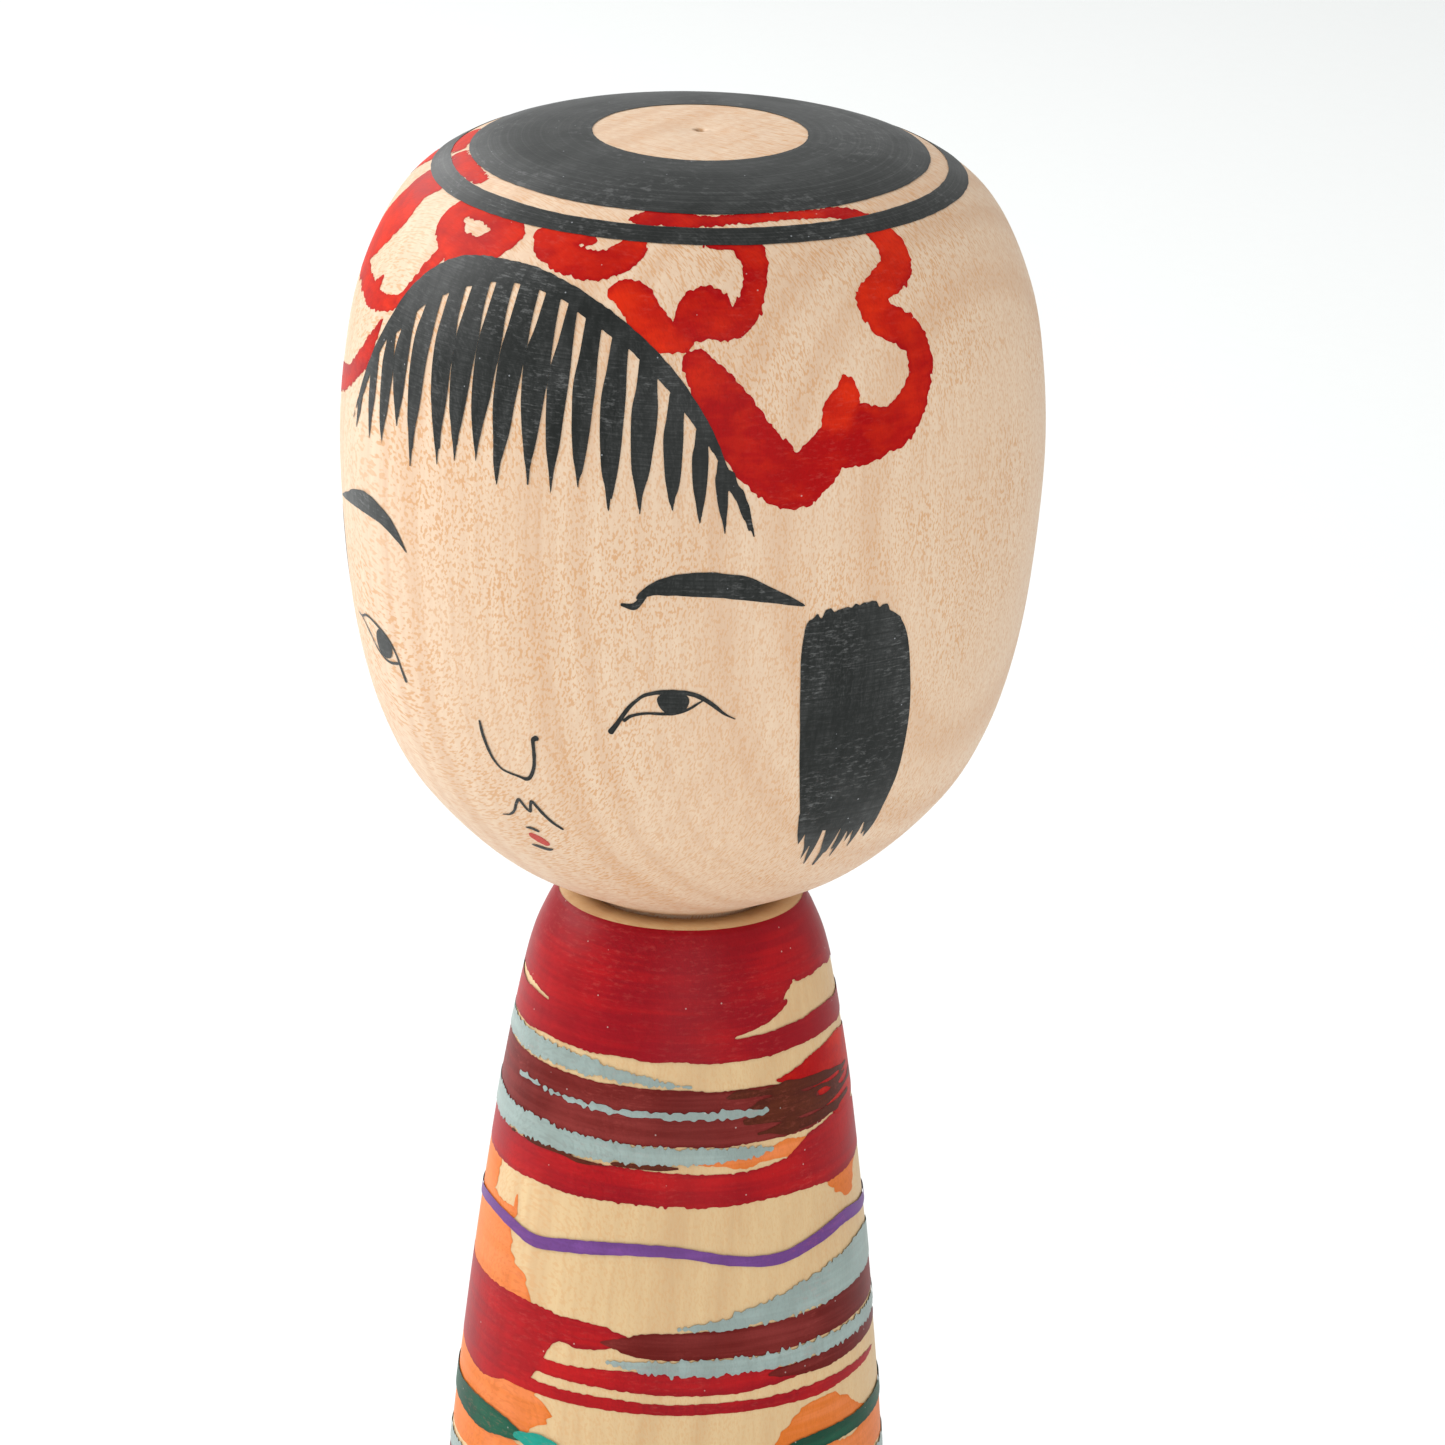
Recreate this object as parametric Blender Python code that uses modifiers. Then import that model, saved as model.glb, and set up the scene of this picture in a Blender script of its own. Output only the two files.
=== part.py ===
"""A turned wooden kokeshi doll: a head whose neck is sprung into a socket in the body, so that it turns.

Metres, +Z up. The origin is the centre of the flat base, and the face looks along -Y.
"""
import math

import bpy

# Driving dimensions
TOTAL_HEIGHT = 0.2400
HEAD_RADIUS = 0.0310  # at the head's widest point
HEAD_HEIGHT = 0.0697  # from the crown to where the underside runs into the neck
FILLET_DROP = 0.0011  # height of the rounding between the underside and the neck
RIM_RADIUS = 0.0111  # outer edge of the body's top face
RIM_DROP = 0.0701  # from the crown down to the body's rim
BASE_RADIUS = 0.0255
BASE_EDGE = 0.0008  # rounding where the side meets the base
NECK_RADIUS = 0.0075  # the part of the neck that turns in the body's mouth
NECK_LENGTH = 0.0080
TENON_RADIUS = 0.0086  # the swollen end of the neck, wider than the mouth, so that the head stays in
TENON_LENGTH = 0.0044
TENON_TAPER = 0.0006
GAP = 0.0003  # clearance between neck and socket
FLOOR_GAP = 0.0005  # clearance under the end of the neck
CENTRE_MARK_RADIUS = 0.0004  # dimple that the lathe's centre leaves on the crown
CENTRE_MARK_DEPTH = 0.0004

SEGMENTS = 72  # facets round each turned piece
HEAD_STEPS = 2  # facets between two points of the head's side
BODY_STEPS = 2
EDGE_STEPS = 4  # facets of the rounding at the base
MERGE_DISTANCE = 0.00001

# Heights that follow from them
CHIN_Z = TOTAL_HEIGHT - HEAD_HEIGHT
NECK_Z = CHIN_Z - FILLET_DROP
SHOULDER_Z = NECK_Z - NECK_LENGTH
TENON_END_Z = SHOULDER_Z - TENON_LENGTH
RIM_Z = TOTAL_HEIGHT - RIM_DROP
PIVOT_Z = NECK_Z - NECK_LENGTH / 2

HEAD_COLOUR = (0.760, 0.590, 0.400)
BODY_COLOUR = (0.430, 0.050, 0.050)
WAX_ROUGHNESS = 0.45

# The head's side, as fractions of its radius: (distance from the axis, drop below the crown)
HEAD_SIDE = [
    (0.16, 0.002),
    (0.42, 0.016),
    (0.61, 0.053),
    (0.76, 0.127),
    (0.86, 0.235),
    (0.94, 0.415),
    (0.98, 0.600),
    (1.00, 0.880),
    (0.98, 1.210),
    (0.94, 1.480),
    (0.87, 1.710),
    (0.76, 1.900),
    (0.55, 2.104),
    (0.28, 2.247),
]

# The body's side: (distance from the axis over the base's radius, height over the rim's height)
BODY_SIDE = [
    (0.442, 0.997),
    (0.474, 0.988),
    (0.516, 0.972),
    (0.555, 0.946),
    (0.629, 0.881),
    (0.722, 0.769),
    (0.800, 0.635),
    (0.888, 0.388),
    (0.963, 0.165),
    (0.998, 0.0047),
]


def clear_scene():
    for item in list(bpy.data.objects):
        bpy.data.objects.remove(item, do_unlink=True)


def make_collection(name):
    collection = bpy.data.collections.new(name)
    bpy.context.scene.collection.children.link(collection)
    return collection


def make_material(name, colour, roughness):
    material = bpy.data.materials.new(name)
    material.use_nodes = True
    shader = material.node_tree.nodes["Principled BSDF"]
    shader.inputs["Base Color"].default_value = (*colour, 1.0)
    shader.inputs["Roughness"].default_value = roughness
    shader.inputs["Metallic"].default_value = 0.0
    return material


def smooth_curve(points, steps):
    """A curve through the points, which keeps their tangents parallel to each point's neighbours."""
    first = tuple(2 * a - b for a, b in zip(points[0], points[1]))
    last = tuple(2 * a - b for a, b in zip(points[-1], points[-2]))
    guides = [first, *points, last]
    curve = []
    for start in range(len(points) - 1):
        before, here, there, after = guides[start : start + 4]
        for step in range(steps):
            t = step / steps
            curve.append(tuple(hermite(t, *values) for values in zip(before, here, there, after)))
    return [*curve, points[-1]]


def hermite(t, before, here, there, after):
    leaving = (there - before) / 2
    arriving = (after - here) / 2
    return (
        here * (2 * t**3 - 3 * t**2 + 1)
        + leaving * (t**3 - 2 * t**2 + t)
        + there * (3 * t**2 - 2 * t**3)
        + arriving * (t**3 - t**2)
    )


def arc(centre, radius, start, stop, steps):
    """Points on a circle, its angles in degrees from the +X side, both ends included."""
    points = []
    for step in range(steps + 1):
        angle = math.radians(start + (stop - start) * step / steps)
        points.append((centre[0] + radius * math.cos(angle), centre[1] + radius * math.sin(angle)))
    return points


def head_profile():
    """From the crown, down the outside and the neck, to the axis at the neck's end."""
    side = [(HEAD_RADIUS * across, TOTAL_HEIGHT - HEAD_RADIUS * drop) for across, drop in HEAD_SIDE]
    crown = [(0, TOTAL_HEIGHT - CENTRE_MARK_DEPTH), (CENTRE_MARK_RADIUS, TOTAL_HEIGHT)]
    fillet = [(NECK_RADIUS + GAP, CHIN_Z - GAP), (NECK_RADIUS, NECK_Z)]
    tenon = [
        (NECK_RADIUS, SHOULDER_Z),
        (TENON_RADIUS, SHOULDER_Z - TENON_TAPER),
        (TENON_RADIUS, TENON_END_Z + TENON_TAPER),
        (TENON_RADIUS - TENON_TAPER, TENON_END_Z),
        (0, TENON_END_Z),
    ]
    return [*crown, *smooth_curve(side, HEAD_STEPS), *fillet, *tenon]


def body_profile():
    """From the socket's floor, up inside it and over the rim, down the side, to the axis at the base."""
    socket_radius = TENON_RADIUS + GAP
    mouth_radius = NECK_RADIUS + GAP
    socket = [
        (0, TENON_END_Z - FLOOR_GAP),
        (socket_radius, TENON_END_Z - FLOOR_GAP),
        (socket_radius, SHOULDER_Z - TENON_TAPER + GAP),
        (mouth_radius, SHOULDER_Z + GAP),
    ]
    rim = [
        (mouth_radius, NECK_Z - GAP),
        (mouth_radius + 2 * GAP, RIM_Z),
        (RIM_RADIUS - GAP, RIM_Z),
    ]
    side = [(BASE_RADIUS * across, RIM_Z * height) for across, height in BODY_SIDE]
    edge = arc((BASE_RADIUS - BASE_EDGE, BASE_EDGE), BASE_EDGE, 0, -90, EDGE_STEPS)[1:]
    return [*socket, *rim, *smooth_curve(side, BODY_STEPS), *edge, (0, 0)]


def turned_piece(name, profile, origin_z, material, collection):
    """A solid of revolution about Z, with its origin on the axis at origin_z."""
    mesh = bpy.data.meshes.new(name)
    corners = [(across, 0, height - origin_z) for across, height in profile]
    edges = [(index, index + 1) for index in range(len(corners) - 1)]
    mesh.from_pydata(corners, edges, [])
    mesh.materials.append(material)
    piece = bpy.data.objects.new(name, mesh)
    piece.location = (0, 0, origin_z)
    collection.objects.link(piece)
    screw = piece.modifiers.new("turn", "SCREW")
    screw.axis = "Z"
    screw.steps = SEGMENTS
    screw.render_steps = SEGMENTS
    screw.use_merge_vertices = True
    screw.merge_threshold = MERGE_DISTANCE
    screw.use_smooth_shade = True
    return piece


def main():
    clear_scene()
    doll = make_collection("kokeshi_doll")
    body_paint = make_material("body_paint", BODY_COLOUR, WAX_ROUGHNESS)
    head_wood = make_material("head_wood", HEAD_COLOUR, WAX_ROUGHNESS)
    turned_piece("body", body_profile(), 0, body_paint, doll)
    turned_piece("head", head_profile(), PIVOT_Z, head_wood, doll)


main()
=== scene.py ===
"""The painted, waxed look of a turned wooden kokeshi doll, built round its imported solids.

Places on the head are an angle round from the face, in degrees and positive towards the doll's
left hand, with the distance in millimetres down the side from the crown. Places on the body are
the same angle with the height in millimetres.
"""
import math

import bpy
import numpy as np
from mathutils import Matrix, Vector, geometry


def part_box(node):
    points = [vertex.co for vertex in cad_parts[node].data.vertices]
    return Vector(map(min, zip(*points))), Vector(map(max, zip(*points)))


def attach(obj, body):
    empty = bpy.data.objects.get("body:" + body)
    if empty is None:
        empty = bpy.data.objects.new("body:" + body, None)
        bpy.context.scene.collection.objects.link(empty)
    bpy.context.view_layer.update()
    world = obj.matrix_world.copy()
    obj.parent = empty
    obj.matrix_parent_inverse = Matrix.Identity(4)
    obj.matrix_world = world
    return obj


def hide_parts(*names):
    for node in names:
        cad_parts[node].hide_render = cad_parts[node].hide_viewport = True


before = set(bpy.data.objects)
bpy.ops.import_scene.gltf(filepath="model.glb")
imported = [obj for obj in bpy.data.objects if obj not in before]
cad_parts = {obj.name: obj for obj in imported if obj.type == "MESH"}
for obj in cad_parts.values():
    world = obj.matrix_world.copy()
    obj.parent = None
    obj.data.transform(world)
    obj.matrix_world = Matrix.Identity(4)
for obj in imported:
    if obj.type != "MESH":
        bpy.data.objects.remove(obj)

bl_info = {
    "name": "Painted Kokeshi Doll",
    "version": (1, 0, 0),
    "blender": (4, 5, 0),
    "location": "View3D > Sidebar > Kokeshi",
    "description": "Builds a turned and painted kokeshi doll, piece by piece",
    "category": "Add Mesh",
}

MM = 0.001

# Turned shapes, from the bounds of the imported parts and in metres
HEAD_LOW, HEAD_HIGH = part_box("head")
_, BODY_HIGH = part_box("body")
CROWN_Z = HEAD_HIGH.z
HEAD_RADIUS = HEAD_HIGH.x
TENON_END_Z = HEAD_LOW.z
RIM_Z = BODY_HIGH.z
BASE_RADIUS = BODY_HIGH.x
HEAD_HEIGHT = 0.0697
FILLET_DROP = 0.0011
NECK_RADIUS = 0.0075
NECK_LENGTH = 0.0080
TENON_RADIUS = 0.0086
TENON_TAPER = 0.0006
RIM_RADIUS = 0.0111
BASE_EDGE = 0.0008
GAP = 0.0003
FLOOR_GAP = 0.0005
CHIN_Z = CROWN_Z - HEAD_HEIGHT
NECK_Z = CHIN_Z - FILLET_DROP
SHOULDER_Z = NECK_Z - NECK_LENGTH

# The head's side, as fractions of its radius: (distance from the axis, drop below the crown)
HEAD_SIDE = [
    (0.16, 0.002), (0.42, 0.016), (0.61, 0.053), (0.76, 0.127), (0.86, 0.235), (0.94, 0.415),
    (0.98, 0.600), (1.00, 0.880), (0.98, 1.210), (0.94, 1.480), (0.87, 1.710), (0.76, 1.900),
    (0.55, 2.104), (0.28, 2.247),
]

# The body's side: (distance from the axis over the base's radius, height over the rim's height)
BODY_SIDE = [
    (0.442, 0.997), (0.474, 0.988), (0.516, 0.972), (0.555, 0.946), (0.629, 0.881),
    (0.722, 0.769), (0.800, 0.635), (0.888, 0.388), (0.963, 0.165), (0.998, 0.0047),
]

# The dimple that the lathe's centre leaves on the crown: (distance from the axis, depth)
CENTRE_MARK = [(0.0, 0.00040), (0.00025, 0.00034), (0.00045, 0.00008), (0.0008, 0.0)]


# ---------------------------------------------------------------- turned shapes


def hermite(t, here, leaving, there, arriving):
    """The value at t, from 0 to 1, on the way from here to there, with its slopes at both."""
    return (
        here * (2 * t**3 - 3 * t**2 + 1)
        + leaving * (t**3 - 2 * t**2 + t)
        + there * (3 * t**2 - 2 * t**3)
        + arriving * (t**3 - t**2)
    )


def smooth_curve(points, steps, closed=False):
    """Rows of places on a smooth curve through the points, this many from each point to the next."""
    points = np.array(points, float)
    if closed:
        guides = np.vstack([points[-1:], points, points[:2]])
    else:
        first = 2 * points[:1] - points[1:2]
        last = 2 * points[-1:] - points[-2:-1]
        guides = np.vstack([first, points, last])
    rows = []
    for before, here, there, after in zip(guides, guides[1:], guides[2:], guides[3:]):
        for step in range(steps):
            rows.append(hermite(step / steps, here, (there - before) / 2, there, (after - here) / 2))
    rows.append(guides[-2])
    return np.array(rows)


def head_side(steps):
    side = [(HEAD_RADIUS * across, CROWN_Z - HEAD_RADIUS * drop) for across, drop in HEAD_SIDE]
    crown = [(across, CROWN_Z - depth) for across, depth in CENTRE_MARK]
    return [*crown, *map(tuple, smooth_curve(side, steps))]


def body_side(steps):
    side = [(BASE_RADIUS * across, RIM_Z * height) for across, height in BODY_SIDE]
    return [(RIM_RADIUS - GAP, RIM_Z), *map(tuple, smooth_curve(side, steps))]


def head_profile(steps):
    """From the crown, down the outside and the neck, to the axis at the neck's end."""
    fillet = [(NECK_RADIUS + GAP, CHIN_Z - GAP), (NECK_RADIUS, NECK_Z)]
    tenon = [
        (NECK_RADIUS, SHOULDER_Z),
        (TENON_RADIUS, SHOULDER_Z - TENON_TAPER),
        (TENON_RADIUS, TENON_END_Z + TENON_TAPER),
        (TENON_RADIUS - TENON_TAPER, TENON_END_Z),
        (0.0, TENON_END_Z),
    ]
    return [*head_side(steps), *fillet, *tenon]


def body_profile(steps):
    """From the socket's floor, up inside it, over the rim and down the side, to the base's middle."""
    socket_radius = TENON_RADIUS + GAP
    mouth_radius = NECK_RADIUS + GAP
    socket = [
        (0.0, TENON_END_Z - FLOOR_GAP),
        (socket_radius, TENON_END_Z - FLOOR_GAP),
        (socket_radius, SHOULDER_Z - TENON_TAPER + GAP),
        (mouth_radius, SHOULDER_Z + GAP),
    ]
    rim = [(mouth_radius, NECK_Z - GAP), (mouth_radius + 2 * GAP, RIM_Z)]
    edge = []
    for angle in (20, 45, 70, 90):
        turn = math.radians(angle)
        edge.append((
            BASE_RADIUS - BASE_EDGE * (1 - math.cos(turn)),
            BASE_EDGE * (1 - math.sin(turn)),
        ))
    return [*socket, *rim, *body_side(steps), *edge, (0.0, 0.0)]


class Skin:
    """The outside of a turned piece, laid flat: a place is an angle and a distance along the side."""

    def __init__(self, side, from_crown):
        radius, height = np.array(side).T
        if from_crown:
            self.facing = 1
            self.along = np.concatenate([[0], np.cumsum(np.hypot(np.diff(radius), np.diff(height)))])
        else:
            self.facing = -1
            radius, height = radius[::-1], height[::-1]
            self.along = height.copy()
        self.along /= MM
        self.radii = radius
        self.heights = height
        outward = -self.facing * np.gradient(height)
        upward = self.facing * np.gradient(radius)
        length = np.hypot(outward, upward)
        self.outward = outward / length
        self.upward = upward / length
        self.widest = float(radius.max()) / MM

    def degree(self, along):
        """Millimetres in one degree of turn."""
        return np.interp(along, self.along, self.radii) / MM * math.pi / 180

    def place(self, angle, along, lift):
        """Points in metres and their normals, lift metres off the wood."""
        turn = np.radians(angle)
        out = np.interp(along, self.along, self.outward)
        up = np.interp(along, self.along, self.upward)
        radius = np.interp(along, self.along, self.radii) + lift * out
        height = np.interp(along, self.along, self.heights) + lift * up
        points = np.stack([radius * np.sin(turn), -radius * np.cos(turn), height], axis=1)
        normals = np.stack([out * np.sin(turn), -out * np.cos(turn), up], axis=1)
        return points, normals


SKIN_STEPS = 24
HEAD_SKIN = Skin(head_side(SKIN_STEPS), from_crown=True)
BODY_SKIN = Skin(body_side(SKIN_STEPS), from_crown=False)


# ---------------------------------------------------------------- paint laid flat

BARE = -9.0  # depth where no paint comes near
WHOLE_TURN = (-180, 180)
MARGIN = 1.2  # how far past its edge a stroke's depth is worked out, in millimetres


# How the edge of each paint wavers: by how much, and how far it is from one swell to the next round
# the doll and along it, in millimetres
EDGES = {
    "crown sway": (0.06, 9.0, 2.0),
    "crown": (0.03, 1.2, 2.0),
    "fringe": (0.05, 0.5, 3.0),
    "fringe tips": (0.09, 0.25, 4.0),
    "lock": (0.05, 0.6, 3.0),
    "lock tips": (0.18, 0.35, 5.0),
    "lock top": (0.35, 0.4, 4.0),
    "ribbon sway": (0.14, 2.2, 2.2),
    "ribbon": (0.15, 0.42, 0.9),
    "ribbon grain": (0.12, 0.30, 0.30),
    "brow": (0.04, 0.8, 0.8),
    "face line": (0.02, 0.5, 0.5),
    "lip": (0.04, 0.4, 0.4),
    "collar": (0.08, 0.6, 1.5),
    "collar sway": (0.20, 5.0, 0.35),
    "stripe": (0.07, 0.5, 3.0),
    "stripe sway": (0.14, 7.0, 0.4),
    "wash": (0.09, 0.5, 3.0),
    "wash sway": (0.34, 4.0, 0.45),
    "umber sway": (0.45, 4.0, 0.35),
    "slate": (0.24, 0.40, 1.2),
    "dash": (0.22, 0.7, 0.5),
    "violet": (0.04, 0.8, 2.0),
    "teal": (0.1, 1.0, 0.5),
}


def round_curve(knots, angle):
    """Values of a smooth curve through (angle, value) knots that closes after one turn."""
    knots = np.array(sorted(knots), float)
    x = np.concatenate([knots[-2:, 0] - 360, knots[:, 0], knots[:2, 0] + 360])
    y = np.concatenate([knots[-2:, 1], knots[:, 1], knots[:2, 1]])
    slope = np.gradient(y, x)
    wrapped = (np.asarray(angle) - knots[0, 0]) % 360 + knots[0, 0]
    cell = np.clip(np.searchsorted(x, wrapped, side="right") - 1, 0, len(x) - 2)
    span = x[cell + 1] - x[cell]
    t = (wrapped - x[cell]) / span
    return hermite(t, y[cell], slope[cell] * span, y[cell + 1], slope[cell + 1] * span)


def reach_segment(x, y, dx, dy):
    """Where along a segment from the origin a point is nearest, from 0 to 1, and how far it is off."""
    t = np.clip((x * dx + y * dy) / (dx * dx + dy * dy + 1e-9), 0, 1)
    return t, np.hypot(x - t * dx, y - t * dy)


class Canvas:
    """Part of a skin on a fine grid, with how deep under the edge of the paint each point is."""

    def __init__(self, skin, angles, reach, step):
        self.skin = skin
        self.whole = angles[1] - angles[0] >= 360
        self.scale = skin.widest * math.pi / 180
        columns = round((angles[1] - angles[0]) * self.scale / step)
        rows = round((reach[1] - reach[0]) / step)
        self.angle = np.linspace(*angles, columns + 1)
        self.along = np.linspace(*reach, rows + 1)
        self.depth = np.full((rows + 1, columns + 1), BARE)
        self.shade = np.zeros_like(self.depth)

    def window(self, angle_low, angle_high, along_low, along_high):
        pad = MARGIN / float(self.skin.degree((along_low + along_high) / 2))
        columns = slice(*np.searchsorted(self.angle, (angle_low - pad, angle_high + pad)))
        rows = slice(*np.searchsorted(self.along, (along_low - MARGIN, along_high + MARGIN)))
        return rows, columns

    def turns(self):
        return (-360, 0, 360) if self.whole else (0,)

    def lay(self, rows, columns, depth, shade):
        """Adds paint, keeping whichever stroke lies deeper."""
        current = self.depth[rows, columns]
        over = depth > current
        self.shade[rows, columns] = np.where(over, shade, self.shade[rows, columns])
        self.depth[rows, columns] = np.maximum(current, depth)

    def stroke(self, nodes, shade=0.0, steps=6):
        """A brush stroke through (angle, along, half width) nodes."""
        path = smooth_curve(nodes, steps)
        for turn in self.turns():
            for (a0, s0, w0), (a1, s1, w1) in zip(path, path[1:]):
                wide = max(w0, w1)
                around = wide / float(self.skin.degree(s0))
                rows, columns = self.window(
                    min(a0, a1) + turn - around, max(a0, a1) + turn + around,
                    min(s0, s1) - wide, max(s0, s1) + wide,
                )
                along = self.along[rows, None]
                degree = self.skin.degree(along)
                x = (self.angle[None, columns] - a0 - turn) * degree
                t, gap = reach_segment(x, along - s0, (a1 - a0) * degree, s1 - s0)
                self.lay(rows, columns, w0 + (w1 - w0) * t - gap, shade)

    def outline_depth(self, nodes, steps, turn):
        """Signed distance inside a closed outline, and the part of the grid that it covers."""
        path = smooth_curve(nodes, steps, closed=True)
        path[:, 0] += turn
        low, high = path.min(axis=0), path.max(axis=0)
        rows, columns = self.window(low[0], high[0], low[1], high[1])
        along = self.along[rows, None]
        angle = self.angle[None, columns]
        degree = self.skin.degree(along)
        gap = np.full((along.shape[0], angle.shape[1]), MARGIN)
        inside = np.zeros(gap.shape, bool)
        for (a0, s0), (a1, s1) in zip(path, path[1:]):
            x, y = (angle - a0) * degree, along - s0
            _, off = reach_segment(x, y, (a1 - a0) * degree, s1 - s0)
            gap = np.minimum(gap, off)
            if s0 != s1:
                crosses = (along >= min(s0, s1)) & (along < max(s0, s1))
                inside ^= crosses & (angle < a0 + (along - s0) / (s1 - s0) * (a1 - a0))
        return rows, columns, np.where(inside, gap, -gap)

    def patch(self, nodes, shade=0.0, steps=4):
        """A filled shape inside (angle, along) nodes. One step keeps its sides straight."""
        for turn in self.turns():
            rows, columns, depth = self.outline_depth(nodes, steps, turn)
            if depth.size:
                self.lay(rows, columns, depth, shade)

    def cut(self, nodes, steps=4):
        """Takes a shape out of the paint that is there."""
        for turn in self.turns():
            rows, columns, depth = self.outline_depth(nodes, steps, turn)
            if depth.size:
                self.depth[rows, columns] = np.minimum(self.depth[rows, columns], -depth)

    def band(self, knots, shade=0.0):
        """Paint between the two edges in (angle, low, high) knots, bare where high is below low."""
        low = round_curve([(angle, lower) for angle, lower, upper in knots], self.angle)
        high = round_curve([(angle, upper) for angle, lower, upper in knots], self.angle)
        along = self.along[:, None]
        depth = np.minimum(along - low[None, :], high[None, :] - along)
        self.lay(slice(None), slice(None), depth, shade)

    def noise(self, around, along, seed):
        """Smooth random values from -1 to 1, in cells of about this many millimetres each way."""
        draws = np.random.RandomState(seed)
        count = max(3, round(2 * math.pi * self.skin.widest / around))
        x = (self.angle % 360) / 360 * count
        y = (self.along - self.along[0]) / along
        table = draws.uniform(-1, 1, (int(y[-1]) + 2, count))
        column, row = np.floor(x).astype(int), np.floor(y).astype(int)
        fx, fy = x - column, y - row
        fx, fy = fx * fx * (3 - 2 * fx), fy * fy * (3 - 2 * fy)
        left = table[:, column % count]
        right = table[:, (column + 1) % count]
        across = left + (right - left) * fx[None, :]
        return across[row] + (across[row + 1] - across[row]) * fy[:, None]

    def roughen(self, edge, seed, where=1.0):
        """Moves the edge of the paint in and out, as one of the EDGES does, weighted by where."""
        amount, around, along = EDGES[edge]
        near = self.depth > BARE / 2
        self.depth += np.where(near, amount * self.noise(around, along, seed) * where, 0)

    def ramp(self, start, end):
        """A weight for roughen, from none at the start of a stretch of the side to all at its end."""
        return np.clip((self.along[:, None] - start) / (end - start), 0.0, 1.0)

    def sample(self, grid, x, along):
        """Values of a grid at unrolled points, x in millimetres round the widest turn."""
        column = np.interp(x / self.scale, self.angle, np.arange(len(self.angle)))
        row = np.interp(along, self.along, np.arange(len(self.along)))
        c = np.minimum(column.astype(int), len(self.angle) - 2)
        r = np.minimum(row.astype(int), len(self.along) - 2)
        u, v = column - c, row - r
        lower = grid[r, c] * (1 - u) + grid[r, c + 1] * u
        upper = grid[r + 1, c] * (1 - u) + grid[r + 1, c + 1] * u
        return lower * (1 - v) + upper * v


def paint_edge(canvas):
    """Points where the paint's edge crosses the grid, and the pairs of them that each cell joins."""
    depth = canvas.depth
    inside = depth > 0
    across = inside[:, :-1] != inside[:, 1:]
    along = inside[:-1, :] != inside[1:, :]
    across_id = np.full(across.shape, -1)
    along_id = np.full(along.shape, -1)
    across_id[across] = np.arange(across.sum())
    along_id[along] = np.arange(along.sum()) + across.sum()
    x, y = canvas.angle * canvas.scale, canvas.along
    r, c = np.nonzero(across)
    t = depth[r, c] / (depth[r, c] - depth[r, c + 1])
    points = [np.stack([x[c] + t * (x[c + 1] - x[c]), y[r]], axis=1)]
    r, c = np.nonzero(along)
    t = depth[r, c] / (depth[r, c] - depth[r + 1, c])
    points.append(np.stack([x[c], y[r] + t * (y[r + 1] - y[r])], axis=1))
    crossed = across[:-1] | across[1:] | along[:, :-1] | along[:, 1:]
    pairs = []
    for r, c in np.argwhere(crossed):
        ring = [across_id[r, c], along_id[r, c + 1], across_id[r + 1, c], along_id[r, c]]
        found = [int(index) for index in ring if index >= 0]
        if len(found) == 2:
            pairs.append(found)
        else:
            middle = depth[r : r + 2, c : c + 2].mean() > 0
            if middle == inside[r, c]:
                pairs += [found[:2], found[2:]]
            else:
                pairs += [[found[0], found[3]], [found[1], found[2]]]
    return np.vstack(points), pairs


def inner_points(canvas, spacing):
    """A loose triangular lattice under the paint, with matching points where a whole turn meets."""
    x_low, x_high = canvas.angle[0] * canvas.scale, canvas.angle[-1] * canvas.scale
    points = []
    rows = np.arange(canvas.along[0] + spacing / 2, canvas.along[-1], spacing * 0.87)
    for index, along in enumerate(rows):
        x = np.arange(x_low + spacing * (0.5 + 0.5 * (index % 2)), x_high - spacing * 0.4, spacing)
        if canvas.whole:
            x = np.concatenate([[x_low], x, [x_high]])
        points.append(np.stack([x, np.full_like(x, along)], axis=1))
    points = np.vstack(points)
    deep = canvas.sample(canvas.depth, points[:, 0], points[:, 1]) > spacing * 0.3
    return points[deep]


def film(name, canvas, lift, spacing, material, body):
    """A sheet of paint that lies on the wood, as far as the canvas's paint goes."""
    edge, pairs = paint_edge(canvas)
    flat = np.vstack([edge, inner_points(canvas, spacing)])
    points, _, faces, *_ = geometry.delaunay_2d_cdt([Vector(p) for p in flat], pairs, [], 0, 1e-5)
    flat = np.array([tuple(p) for p in points])
    faces = np.array(faces)
    centre = flat[faces].mean(axis=1)
    faces = faces[canvas.sample(canvas.depth, centre[:, 0], centre[:, 1]) > 0]
    if canvas.skin.facing > 0:
        faces = faces[:, ::-1]
    merged = np.arange(len(flat))
    if canvas.whole:
        ends = canvas.angle[[0, -1]] * canvas.scale
        first = {round(flat[i, 1], 3): i for i in np.nonzero(flat[:, 0] < ends[0] + 1e-4)[0]}
        for index in np.nonzero(flat[:, 0] > ends[1] - 1e-4)[0]:
            merged[index] = first.get(round(flat[index, 1], 3), index)
    used, corners = np.unique(merged[faces], return_inverse=True)
    angle, along = flat[used, 0] / canvas.scale, flat[used, 1]
    places, normals = canvas.skin.place(angle, along, lift * MM)
    mesh = bpy.data.meshes.new(name)
    mesh.from_pydata(places.tolist(), [], corners.reshape(faces.shape).tolist())
    lay_flat(mesh, flat[faces.ravel()])
    wear = np.clip(canvas.sample(canvas.depth, flat[used, 0], along), 0, 1)
    shade = canvas.sample(canvas.shade, flat[used, 0], along)
    for label, values in (("inward", wear), ("shade", shade)):
        mesh.attributes.new(label, "FLOAT", "POINT").data.foreach_set("value", values)
    mesh.shade_smooth()
    mesh.normals_split_custom_set_from_vertices(normals.tolist())
    return add_piece(name, mesh, material, body)


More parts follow.
